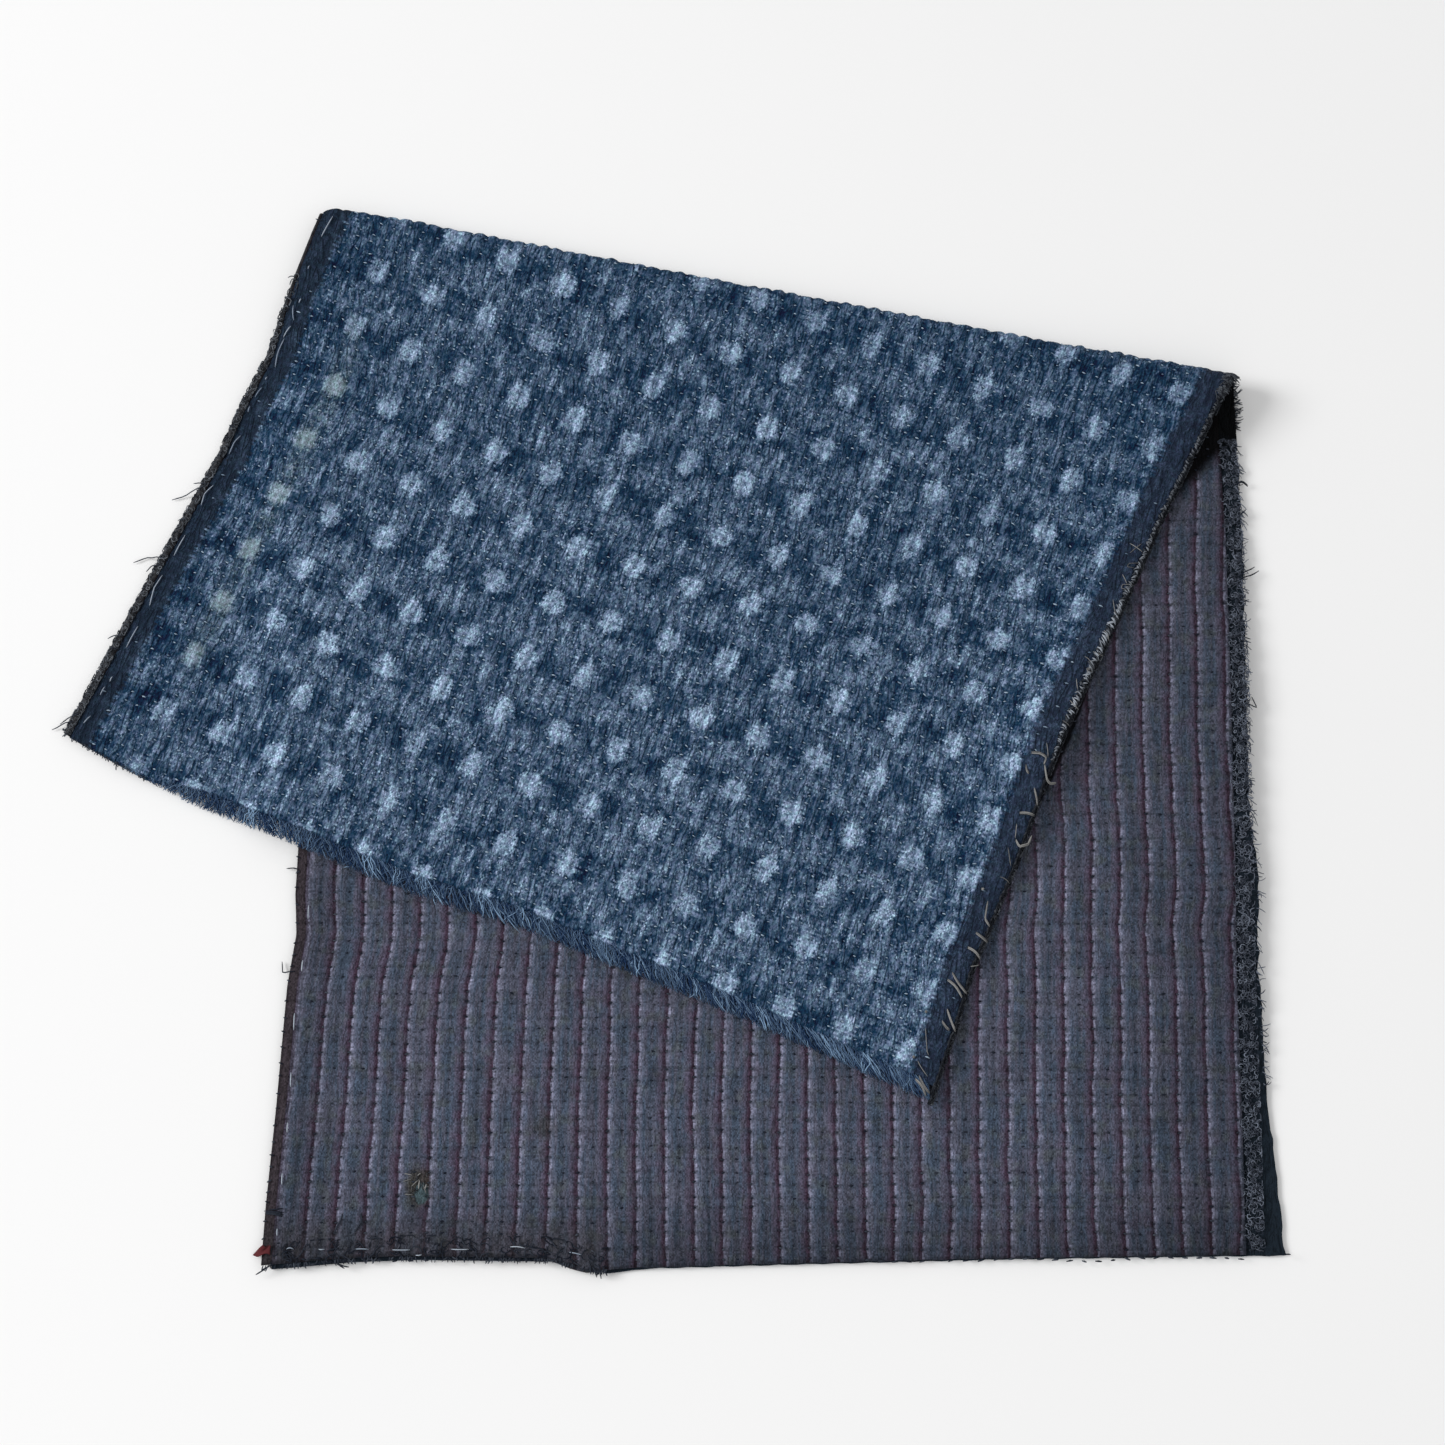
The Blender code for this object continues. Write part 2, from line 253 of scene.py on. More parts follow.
def lay(across, along):
    # The folded place of the seam between the two cloths, in millimetres
    radius, settle, past = foldAt(across, along)
    halfBend = math.pi * radius / 2
    inward = edgeLine("right", along) - across
    lift = edgeLine("lift", along) * (1 - smooth(inward / cloth["liftReach"]))
    turn = np.clip((past + halfBend) / radius, 0, math.pi)
    bent = radius * np.sin(turn) - halfBend
    reach = np.where(past <= -halfBend, past, np.where(past < halfBend, bent, -past))
    beside = across * foldWay[0] + (along - cloth["foldAlong"]) * foldWay[1]
    drop, length = cloth["cornerRound"]
    nearCorner = np.maximum(beside - cloth["cornerAt"], 0) / length + (past / cloth["cornerBend"]) ** 2
    reach = reach - drop * np.exp(-nearCorner)
    x = across + foldOut[0] * (reach - past)
    y = along + foldOut[1] * (reach - past)
    settled = np.where(past >= halfBend, smooth((past - halfBend) / settle), 0.0)
    height = blend(radius * (1 - np.cos(turn)), restHeight(x, y), settled)
    return np.stack((x, y, cloth["halfStack"] + height + lift), -1)


def layOff(across, along, offset):
    # The same place moved out of the seam: positive towards the lining
    step = 0.2
    wayAcross = lay(across + step, along) - lay(across - step, along)
    wayAlong = lay(across, along + step) - lay(across, along - step)
    out = np.cross(wayAcross, wayAlong)
    out /= np.linalg.norm(out, axis=-1, keepdims=True)
    return lay(across, along) + out * np.asarray(offset)[..., None]


def toFrame(places):
    return (places - np.array((*cloth["middle"], 0.0))) * mm


def frayShare(share):
    return smooth((share - cloth["endFrayStart"] + cloth["endFrayTaper"]) / cloth["endFrayTaper"])


def flapEnd(share):
    return np.interp(share, flapEndTable["share"], flapEndTable["along"])


def lowerEnd(share):
    return np.interp(share, lowerEndTable["share"], lowerEndTable["along"])


def kasuriEnd(share):
    return flapEnd(share) - cloth["endFray"] * frayShare(share)


def liningEnd(share):
    return kasuriEnd(share) - cloth["liningShort"]


def kasuriLeft(along):
    return edgeLine("left", along) + np.interp(along, hemTable["along"], hemTable["turn"])


def kasuriRight(along):
    # Ruffled where it shows beside the lining
    end, fade = cloth["ruffleEnd"]
    ruffle = cloth["ruffle"] * (softNoise(along / cloth["ruffleLength"], 0.5, 19) - 0.5)
    return edgeLine("right", along) + ruffle * (1 - smooth((along - end) / fade))


def liningLeft(along):
    return edgeLine("left", along)


def liningRight(along):
    start, length = cloth["sideFrayFade"]
    frayed = 1 - smooth((along - start) / length)
    frayDepth = cloth["sideFray"] + edgeLine("frayIn", along)
    return edgeLine("right", along) - blend(cloth["underFlap"], frayDepth, frayed)


def softNoise(x, y, seed):
    # Smooth value noise from 0 to 1, one unit from knot to knot
    table = np.random.default_rng(seed).random((128, 128))
    column = np.floor(x).astype(int)
    row = np.floor(y).astype(int)
    right = smooth(x - column)
    up = smooth(y - row)
    low = blend(table[row & 127, column & 127], table[row & 127, (column + 1) & 127], right)
    high = blend(table[(row + 1) & 127, column & 127], table[(row + 1) & 127, (column + 1) & 127], right)
    return blend(low, high, up)


print("Quilting")
quilting = {
    "spacing": 5.25,  # from stitch to stitch in a row
    "liningSpacing": 4.97,  # two to each stripe
    "liningFirst": -155.6,
    "shortStep": (3.0, 4.2),  # rows come in uneven pairs
    "longStep": (4.9, 6.2),
    "flapWander": 1.9,  # how far each row's stitches shift against the row before
    "baseWander": 0.12,
    "drift": 5.5,  # how far the ridges stray on the kasuri side
    "liningDrift": 1.2,
    "height": 1.15,
    "liningHeight": 0.75,
    "rowWander": 1.7,  # how far a row of stitches strays from straight
    "rows": (1.6, 650),  # where the first row lies, and where they end
    "rowSpacing": 4.7,  # from row to row on average
    "turn": 330,  # rows past this lie in the fold or on the flap
    "baseKeep": 0.6,  # how much of its shift a row hands on to the next below that
    "kasuriRows": 300,  # the kasuri's stitches are built past this, and the lining's up to the next
    "liningRows": 420,
    "lean": 0.13,
}


def makeRows():
    rng = random.Random(7)
    rows = [quilting["rows"][0]]
    shifts = [0.0]
    while rows[-1] < quilting["rows"][1]:
        step = rng.uniform(*quilting["shortStep"]) if len(rows) % 2 else rng.uniform(*quilting["longStep"])
        rows.append(rows[-1] + step)
        onBase = rows[-1] < quilting["turn"]
        wander = quilting["baseWander"] if onBase else quilting["flapWander"]
        shifts.append(shifts[-1] * (quilting["baseKeep"] if onBase else 1.0) + rng.uniform(-wander, wander))
    return np.array(rows), np.array(shifts)


rowAlong, rowShift = makeRows()


def ridgeShift(across, along, seed, wander):
    drift = wander * (softNoise(across / 27 + 40, along / 19, seed) - 0.5)
    return np.interp(along, rowAlong, rowShift) + drift


# The lining's stripes run this far to the left of an even spread
stripePull = {
    "across": (-150, -100, -60, -25, 0, 25, 50, 75, 100, 125, 150),
    "along": (0, 20, 45, 70, 95, 120, 150, 240, 300),
    "side": (
        (0.3, 0, -0.8, -0.6, 0.8, 2.2, 3.6, 4.6, 5.2, 6.2, 7.2),
        (0.3, 0, -0.6, -0.4, 0.8, 2, 3, 3.8, 4.2, 5, 5.9),
        (0, 0.4, -0.1, 0.6, 1.3, 1.8, 2, 2.2, 2.5, 3.2, 4.2),
        (0.4, 0.3, 0.5, 0.4, 1.3, 1.5, 1.6, 1.7, 2.2, 2.5, 2.8),
        (0.3, 0.5, 0.5, 0.6, 0.8, 1, 1, 1, 0.8, 0.8, 1.2),
        (0.2, 0.2, 0.2, 0.2, 0.2, 0.4, 0.6, 0.8, 1.5, 1.7, 2.1),
        (0, 0, 0, 0, 0, 0, 0, 0, -0.2, -0.2, 0),
        (0, 0, 0, 0, 0, 0, 0, 0, -0.5, -0.6, -0.6),
        (0, 0, 0, 0, 0, 0, 0, 0, -0.4, -0.8, -1.6),
    ),
}


def pulled(table, way, across, along):
    # Between the table's rows and columns
    rows = np.array([np.interp(across.ravel(), table["across"], row) for row in table[way]])
    place = np.interp(along.ravel(), table["along"], np.arange(len(table["along"])))
    low = np.minimum(place.astype(int), len(table["along"]) - 2)
    points = np.arange(len(place))
    return blend(rows[low, points], rows[low + 1, points], place - low).reshape(across.shape)


def kasuriShift(across, along):
    return ridgeShift(across, along, 3, quilting["drift"])


def liningShift(u, along):
    return ridgeShift(u, along, 6, quilting["liningDrift"]) - pulled(stripePull, "side", u, along)


def kasuriPhase(across, along):
    # How far across a place is in its ridge, in ridges: whole numbers are the valleys with the stitches
    return (across - kasuriShift(across, along)) / quilting["spacing"]


def liningPhase(u, along):
    return (u - quilting["liningFirst"] - liningShift(u, along)) / quilting["liningSpacing"]


def straightened(across, along):
    # Where a place would lie if the rows of stitches were straight
    return along - quilting["rowWander"] * (softNoise(across / 21 + 7, along / 9, 17) - 0.5)


def pinch(across, along):
    # 1 at a row of stitches and 0 between two rows
    along = straightened(across, along)
    nextRow = np.clip(np.searchsorted(rowAlong, along), 1, len(rowAlong) - 1)
    nearest = np.minimum(along - rowAlong[nextRow - 1], rowAlong[nextRow] - along)
    return np.exp(-((nearest / 1.1) ** 2))


def puff(phase, sharpness=0.75):
    return np.abs(np.sin(math.pi * phase)) ** sharpness


def kasuriRelief(across, along):
    ridge = puff(kasuriPhase(across, along))
    fullness = 0.3 + 0.85 * softNoise(across / 5.5 + 9, along / 9, 4)
    leaning = across - quilting["lean"] * (along - 500) + 3 * softNoise(across / 9, along / 15, 11)
    small = (puff(leaning / 2.7, 0.8) - 0.6) * softNoise(across / 7 + 20, along / 16, 12)
    grain = softNoise(across / 1.9, along / 5.5, 5) - 0.5
    toEdge = np.minimum(across - kasuriLeft(along), kasuriRight(along) - across)
    flat = 0.35 + 0.65 * smooth(toEdge / 12)
    return (ridge * fullness * (1 - 0.45 * pinch(across, along)) + 0.22 * small + 0.25 * grain) * flat


def liningRelief(u, along):
    phase = liningPhase(u, along)
    ridge = 0.6 * puff(phase) + 0.4 * puff(phase / 2)
    fullness = 0.45 + 0.6 * softNoise(u / 5 + 3, along / 16, 8)
    grain = softNoise(u / 2.0, along / 4, 9) - 0.5
    return ridge * fullness * (1 - 0.32 * pinch(u, along)) + 0.25 * grain


print("Sheets")
grid = {
    "columns": 112,
    "baseRows": 52,
    "bendRows": 4,
    "flapRows": 40,
    "kasuriCuts": 3,
    "liningCuts": 4,
    "scallop": 0.3,
}


def alongPastFold(left, right, share, turns):
    # Where a line down the cloth is this many bend radii past the crease
    along = np.full_like(share, cloth["foldAlong"])
    for _ in range(6):
        across = blend(left(along), right(along), share)
        radius, _, past = foldAt(across, along)
        along = along + (radius * turns - past) / foldOut[1]
    return along


def alongOfRow(left, right, start, end, share, row):
    bendStart = alongPastFold(left, right, share, -math.pi / 2)
    bendEnd = alongPastFold(left, right, share, math.pi / 2)
    base, bend, flap = grid["baseRows"], grid["bendRows"], grid["flapRows"]
    turned = alongPastFold(left, right, share, math.pi * (np.clip((row - base) / bend, 0, 1) - 0.5))
    lower = blend(start(share), bendStart, np.clip(row / base, 0, 1))
    upper = blend(bendEnd, end(share), np.clip((row - base - bend) / flap, 0, 1))
    return np.where(row <= base, lower, np.where(row < base + bend, turned, upper))


def sheetMesh(name, cuts, isFine, place):
    # A grid drawn out into a closed sheet, cut finer where isFine(share, row, side) says so.
    # place(share, row, side) gives each point's place, its pattern coordinates and its other values.
    rows = grid["baseRows"] + grid["bendRows"] + grid["flapRows"]
    bm = bmesh.new()
    bmesh.ops.create_grid(bm, x_segments=grid["columns"], y_segments=rows, size=0.5)
    drawn = bmesh.ops.extrude_face_region(bm, geom=bm.faces[:], use_keep_orig=True)
    outer = [item for item in drawn["geom"] if isinstance(item, bmesh.types.BMVert)]
    bmesh.ops.translate(bm, verts=outer, vec=(0.0, 0.0, 1.0))
    bm.faces.ensure_lookup_table()
    middles = np.array([face.calc_center_median() for face in bm.faces])
    fine = isFine(middles[:, 0] + 0.5, (middles[:, 1] + 0.5) * rows, middles[:, 2])
    bm.edges.index_update()
    fineEdges = {edge.index: edge for number in np.flatnonzero(fine) for edge in bm.faces[number].edges}
    bmesh.ops.subdivide_edges(bm, edges=list(fineEdges.values()), cuts=cuts, use_grid_fill=True)
    bmesh.ops.recalc_face_normals(bm, faces=bm.faces)
    mesh = meshOf(bm, name)
    cells = np.empty(len(mesh.vertices) * 3, np.float32)
    mesh.vertices.foreach_get("co", cells)
    cells = cells.reshape(-1, 3).astype(float)
    places, pattern, values = place(cells[:, 0] + 0.5, (cells[:, 1] + 0.5) * rows, cells[:, 2])
    mesh.vertices.foreach_set("co", toFrame(places).astype(np.float32).ravel())
    corners = np.empty(len(mesh.loops), np.int32)
    mesh.loops.foreach_get("vertex_index", corners)
    layer = mesh.uv_layers.new(name="clothMap")
    layer.data.foreach_set("uv", (pattern * mm)[corners].astype(np.float32).ravel())
    for valueName, value in values.items():
        setValues(mesh, valueName, value)
    turnOut(mesh)
    mesh.shade_smooth()
    mesh.set_sharp_from_angle(angle=math.radians(60))
    return mesh


def turnOut(mesh):
    bm = bmesh.new()
    bm.from_mesh(mesh)
    if bm.calc_volume(signed=True) < 0:
        bmesh.ops.reverse_faces(bm, faces=bm.faces)
        bm.to_mesh(mesh)
    bm.free()


def addPiece(name, data, material, slot):
    piece = addObject(name, data)
    data.materials.append(material)
    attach(piece, "root")
    return piece


def fullShare(across, along):
    left, right = edgeLine("left", along), edgeLine("right", along)
    return (across - left) / (right - left)


def liningAcross(across, along):
    # The place across as the stripes count it, from half the nominal width on the left to half on the right
    return (fullShare(across, along) - 0.5) * cloth["width"]


def kasuriShare(across, along):
    return (across - kasuriLeft(along)) / (kasuriRight(along) - kasuriLeft(along))


def intoFlap(across, along):
    # The place on the flap that lies over a place on the lower half
    past = foldAt(across, along)[2]
    return past, across - 2 * past * foldOut[0], along - 2 * past * foldOut[1]


def scalloped(share):
    bumps = np.sin(math.pi * (share - 0.5) * cloth["width"] / (2 * quilting["liningSpacing"])) ** 2
    return lowerEnd(share) - grid["scallop"] * bumps * smooth((share - 0.33) / 0.02)


def liningStart(share):
    return scalloped(share) + 1.1 * (1 - smooth((share - 0.29) / 0.03))


def kasuriSurface(across, along, share):
    toEdge = np.minimum(across - kasuriLeft(along), kasuriRight(along) - across)
    toEnd = np.minimum(kasuriEnd(share) - along, toEdge)
    relief = kasuriRelief(across, along) * smooth(toEnd / 2.0 + 0.2)
    return relief - 0.4 * (1 - smooth(toEnd / 1.4))


def kasuriPlace(share, row, side):
    along = alongOfRow(kasuriLeft, kasuriRight, scalloped, kasuriEnd, share, row)
    across = blend(kasuriLeft(along), kasuriRight(along), share)
    shown = smooth(row - grid["baseRows"] - 0.4)
    relief = kasuriSurface(across, along, share) * shown
    outer = -cloth["halfStack"] - quilting["height"] * relief + 0.1 * shown
    places = layOff(across, along, np.where(side > 0.5, outer, -cloth["halfGap"]))
    rows = np.interp(straightened(across, along), rowAlong, np.arange(len(rowAlong)))
    values = {"relief": relief, "ridge": kasuriPhase(across, along), "stitchRow": rows, "inner": 1 - side}
    # Painted shade in the fold, which darkens the kasuri's inner face
    values["tucked"] = smooth((along - 298) / 10)
    return places, kasuriPattern(share, along), values


# The pattern is pulled a few millimetres out of true: by place across and along
pull = {
    "across": (0.11, 0.26, 0.41, 0.56, 0.71, 0.86),
    "along": (395, 445, 490, 535, 580),
    "down": (
        (2.0, 3.0, 3.5, 2.2, 1.7, 1.2), (4.5, 5.5, 6.3, 5.0, 4.0, 3.5), (6.5, 7.5, 6.0, 3.5, 1.0, 2.5),
        (6.5, 7.0, 7.5, 4.5, 2.5, 2.5), (4.0, 6.0, 5.5, 3.7, 2.5, 2.0),
    ),
    "side": (
        (1.7, 2.0, 2.8, 3.5, 3.3, 1.0), (1.0, 2.0, 3.5, 4.0, 3.5, 1.0), (1.0, -0.5, 1.0, 1.5, 1.5, 1.0),
        (0.0, -1.5, 0.5, 1.0, 1.0, 2.0), (0.0, 0.0, 0.0, 1.0, 1.0, 1.5),
    ),
}


def kasuriPattern(share, along):
    pitch = blend(23.5, 22.1, share)
    first = kasuriDye["firstRow"]
    down = first + (along - pulled(pull, "down", share, along) - first) * kasuriDye["rowPitch"] / pitch
    return np.stack(((share - 0.5) * cloth["width"] - pulled(pull, "side", share, along), down), -1)


def paintedFoldShade(across, along):
    # Painted shade, from 0 to 1: 1 in the shade inside the fold, and less in the painted shadow and dark gap
    # beside the flap's edge
    past, overAcross, overAlong = intoFlap(across, along)
    beside = overAcross - kasuriRight(overAlong)
    lift = edgeLine("lift", overAlong)
    # A soft painted shadow beside the flap, and a near-black painted shadow in a narrow strip along its edge,
    # wider where it lifts
    soft = 0.5 * np.exp(-np.maximum(beside, 0) / (1.0 + 0.3 * lift))
    gap = 0.97 * smooth((1.0 + 0.62 * np.maximum(lift - 2.2, 0) - beside) / 0.7)
    shade = np.maximum(soft, gap) * smooth(beside + 2) * (1 - smooth((overAlong - 622) / 8))
    # Painted shade in the hollow inside the fold's right end
    inside = smooth((past + 28.5 + 1.2 * (171.7 - across)) / 7) * (1 - smooth((147 - across) / 10))
    return np.maximum(inside, shade)


def liningPlace(share, row, side):
    along = alongOfRow(liningLeft, liningRight, liningStart, liningEnd, share, row)
    across = blend(liningLeft(along), liningRight(along), share)
    shown = 1 - smooth((row - grid["baseRows"] + 3) / 2)
    u = liningAcross(across, along)
    toLeft = across - liningLeft(along)
    toEnd = np.minimum(along - liningStart(share), np.minimum(toLeft, liningRight(along) - across))
    seam = np.exp(-(((toLeft - 4.4) / 0.8) ** 2)) + np.exp(-(((toEnd - 5.0) / 0.8) ** 2)) * (u < -55)
    relief = liningRelief(u, along) * smooth(toEnd / 2.0 + 0.2) - 0.4 * (1 - smooth(toEnd / 1.3))
    hem = 0.35 * (1 - smooth((toLeft - 3.7) / 0.7)) * smooth(toLeft / 2)
    relief = (np.where(toLeft < 4.2, 0.4 * relief, relief) * (1 - 0.7 * seam) + hem) * shown
    outer = cloth["halfStack"] + quilting["liningHeight"] * relief - 0.05 * shown
    onFlap = smooth((row - grid["baseRows"] - grid["bendRows"] / 2) / 1.5)
    turned = np.interp(along, hemTable["along"], hemTable["turn"])
    rim = onFlap * smooth((turned - 0.1 - toLeft) / 0.9)
    rounded = smooth(1 - toLeft / 1.3)
    lumps = 0.25 * (softNoise(toLeft / 2, along / 2.4, 15) - 0.5)
    outer = blend(outer, blend(0.75, 0.15, rounded), rim)
    inner = blend(cloth["halfGap"], blend(-1.35, -0.6, rounded) + lumps, rim)
    places = layOff(across, along, np.where(side > 0.5, outer, inner))
    rows = np.interp(straightened(u, along), rowAlong, np.arange(len(rowAlong)))
    values = {"relief": relief, "ridge": liningPhase(u, along), "stitchRow": rows, "inner": rim}
    # Painted shade of the fold and beside the flap, on the lower half
    values["tucked"] = paintedFoldShade(across, along) * (row <= grid["baseRows"])
    drawn = liningShift(u, along) * smooth((toLeft - 6) / 15)
    return places, np.stack((u - drawn, along), -1), values


def inSight(across, along, reach):
    # The lower half where the flap leaves it in sight, and this much beyond
    _, overAcross, overAlong = intoFlap(across, along)
    inside = (overAcross > kasuriLeft(overAlong) + reach) & (overAcross < kasuriRight(overAlong) - reach)
    return ~(inside & (overAlong < 627.5 - reach))


def kasuriFine(share, row, side):
    ruffled = (share > 1 - 1.1 / grid["columns"]) & (row < grid["baseRows"])
    return (side > 0.99) & (row > grid["baseRows"]) | ruffled


def liningFine(share, row, side):
    along = alongOfRow(liningLeft, liningRight, liningStart, liningEnd, share, row)
    across = blend(liningLeft(along), liningRight(along), share)
    shown = (side > 0.99) & (row < grid["baseRows"] - 2) & inSight(across, along, 14.0)
    rim = (side < 0.01) & (row > grid["baseRows"]) & (share * grid["columns"] < 2)
    return shown | rim


class Signal:
    # A node's output, on which Python's arithmetic draws math nodes
    def __init__(self, socket):
        self.socket = socket

    def __add__(self, other):
        return maths("ADD", self, other)

    def __sub__(self, other):
        return maths("SUBTRACT", self, other)

    def __rsub__(self, other):
        return maths("SUBTRACT", other, self)

    def __mul__(self, other):
        return maths("MULTIPLY", self, other)

    def __truediv__(self, other):
        return maths("DIVIDE", self, other)

    def __mod__(self, other):
        return maths("FLOORED_MODULO", self, other)

    def __pow__(self, other):
        return maths("POWER", self, other)

    def __abs__(self):
        return maths("ABSOLUTE", self)

    def __round__(self):
        return maths("ROUND", self)

    def __floor__(self):
        return maths("FLOOR", self)


def addNode(tree, kind, inputs=None, **settings):
    node = tree.nodes.new(kind)
    for name, value in settings.items():
        setattr(node, name, value)
    for name, value in (inputs or {}).items():
        if isinstance(value, Signal):
            tree.links.new(value.socket, node.inputs[name])
        else:
            node.inputs[name].default_value = value
    return node


def drawn(kind, inputs, output=0, **settings):
    # A new node's output, in the tree of the first signal that it takes in
    tree = next(value.socket.id_data for value in inputs.values() if isinstance(value, Signal))
    return Signal(addNode(tree, kind, inputs, **settings).outputs[output])


def maths(operation, *values, clamp=False):
    return drawn("ShaderNodeMath", dict(enumerate(values)), operation=operation, use_clamp=clamp)


def ramp(value, low, high):
    # 0 at low and 1 at high, smooth between
    inputs = {"Value": value, "From Min": low, "From Max": high}
    return drawn("ShaderNodeMapRange", inputs, "Result", interpolation_type="SMOOTHSTEP")


def noise(x, y, scale=1.0, detail=1.0):
    vector = drawn("ShaderNodeCombineXYZ", {"X": x, "Y": y})
    return drawn("ShaderNodeTexNoise", {"Vector": vector, "Scale": scale, "Detail": detail}, "Fac")


def chance(value):
    return drawn("ShaderNodeTexWhiteNoise", {"W": value}, "Value", noise_dimensions="1D")


def mix(share, low, high):
    return drawn("ShaderNodeMix", {0: share, 6: low, 7: high}, 2, data_type="RGBA")


def scaled(vector, amount):
    return drawn("ShaderNodeVectorMath", {0: vector, "Scale": amount}, operation="SCALE")


def readAttribute(tree, name):
    return Signal(addNode(tree, "ShaderNodeAttribute", attribute_name=name).outputs["Fac"])


def clothPlace(tree):
    # The cloth's own across and along, in millimetres
    uv = Signal(addNode(tree, "ShaderNodeUVMap", uv_map="clothMap").outputs[0])
    parts = addNode(tree, "ShaderNodeSeparateXYZ", {0: scaled(uv, 1 / mm)})
    return Signal(parts.outputs["X"]), Signal(parts.outputs["Y"])


def signalsOf(node):
    return {socket.name: Signal(socket) for socket in node.outputs}


def newGroup(name, inputs, outputs):
    tree = bpy.data.node_groups.new(name, "ShaderNodeTree")
    for inputName, value in inputs.items():
        socket = tree.interface.new_socket(inputName, in_out="INPUT", socket_type="NodeSocketFloat")
        socket.default_value = value
    for outputName in outputs:
        tree.interface.new_socket(outputName, in_out="OUTPUT", socket_type="NodeSocketFloat")
    return tree, signalsOf(addNode(tree, "NodeGroupInput")), addNode(tree, "NodeGroupOutput")


def closeGroup(tree, leave, results):
    for socket, value in zip(leave.inputs, results):
        tree.links.new(value.socket, socket)
    return tree


def fillGroup(tree, group, inputs):
    return signalsOf(addNode(tree, "ShaderNodeGroup", inputs, node_tree=group))


def makeWeaveGroup():
    # Plain weave: which yarn is on top, each yarn's own chance value, and the height of the yarns
    inputs = {"Across": 0.0, "Along": 0.0, "Warp Spacing": 0.6, "Weft Spacing": 0.7}
    outputs = ["Warp On Top", "Warp Chance", "Weft Chance", "Warp Number", "Weft Number"]
    outputs += ["Crossing Chance", "Height"]
    tree, entry, leave = newGroup("plainWeave", inputs, outputs)
    wobble = noise(entry["Across"], entry["Along"], 0.12, 2.0)
    across = entry["Across"] + wobble * 2.4
    along = entry["Along"] + wobble * 2.0
    warp = across / entry["Warp Spacing"]
    weft = along / entry["Weft Spacing"]
    warpNumber = math.floor(warp)
    weftNumber = math.floor(weft)
    warpRound = maths("SINE", maths("FRACT", warp) * math.pi)
    weftRound = maths("SINE", maths("FRACT", weft) * math.pi)
    onTop = (warpNumber + weftNumber) % 2.0
    height = warpRound * onTop + weftRound * (1.0 - onTop)
    crossing = chance(warpNumber * 37.17 + weftNumber * 0.731)
    chances = (chance(warpNumber), chance(weftNumber + 5000.5))
    return closeGroup(tree, leave, (onTop, *chances, warpNumber, weftNumber, crossing, height))


def makeQuiltGroup():
    # The dents of the quilting stitches, the rows that they pull in, and fine creases along the warp
    inputs = {"Across": 0.0, "Along": 0.0, "Spacing": 5.0, "Lean": 0.1, "Between": 1.0}
    tree, entry, leave = newGroup("quiltMarks", inputs, ("Dent", "Row", "Crease", "Relief"))
    ridge = readAttribute(tree, "ridge")
    stitchRow = readAttribute(tree, "stitchRow")
    relief = readAttribute(tree, "relief")
    besideStitch = abs(ridge - round(ridge))
    besideStitch *= entry["Spacing"]
    besideRow = abs(stitchRow - round(stitchRow)) * quilting["rowSpacing"]
    wide = (besideStitch / 1.4) ** 2.0
    deep = (besideRow / 1.0) ** 2.0
    luck = chance(round(ridge) * 13.7 + round(stitchRow))
    dent = ramp(maths("SQRT", wide + deep), 1.0, 0.2)
    dent *= luck * 0.85 + 0.15
    dent *= 1.0 - round(ridge) % 2.0 * (1.0 - entry["Between"])
    rowMark = ramp(besideRow, 1.2, 0.3)
    leaning = entry["Across"] - entry["Along"] * entry["Lean"]
    field = noise(leaning * 0.34, entry["Along"] * 0.075, 1.0, 1.5)
    line = ramp(abs(field - 0.5), 0.085, 0.0)
    broken = ramp(noise(entry["Across"], entry["Along"], 0.15, 1.0), 0.32, 0.48)
    crease = line * broken
    fine = noise(leaning * 0.95 + 60.0, entry["Along"] * 0.24, 1.0, 1.0)
    fine = ramp(abs(fine - 0.5), 0.075, 0.0)
    fine *= ramp(noise(entry["Along"], entry["Across"], 0.21, 1.0), 0.4, 0.56)
    crease = maths("MAXIMUM", crease, fine * 0.75)
    return closeGroup(tree, leave, (dent, rowMark, crease, relief))


weaveGroup = makeWeaveGroup()
quiltGroup = makeQuiltGroup()


cotton = {
    "roughness": 0.9,
    "specular": 0.12,
    "fibreScale": 900.0,
    "fibreDetail": 2.0,
    "fibreTone": 0.5,  # how far the fibres' tones stray from their yarn's
    "fibreHeight": 0.0002,
    "fibreBump": 0.6,
}


def newMaterial(name):
    material = bpy.data.materials.new(name)
    material.use_nodes = True
    tree = material.node_tree
    shader = tree.nodes["Principled BSDF"]
    shader.inputs["Roughness"].default_value = cotton["roughness"]
    shader.inputs["Specular IOR Level"].default_value = cotton["specular"]
    return material, tree, shader


def addBump(tree, shader, height, distance=mm, strength=1.0):
    bump = drawn("ShaderNodeBump", {"Height": height, "Distance": distance, "Strength": strength})
    tree.links.new(bump.socket, shader.inputs["Normal"])


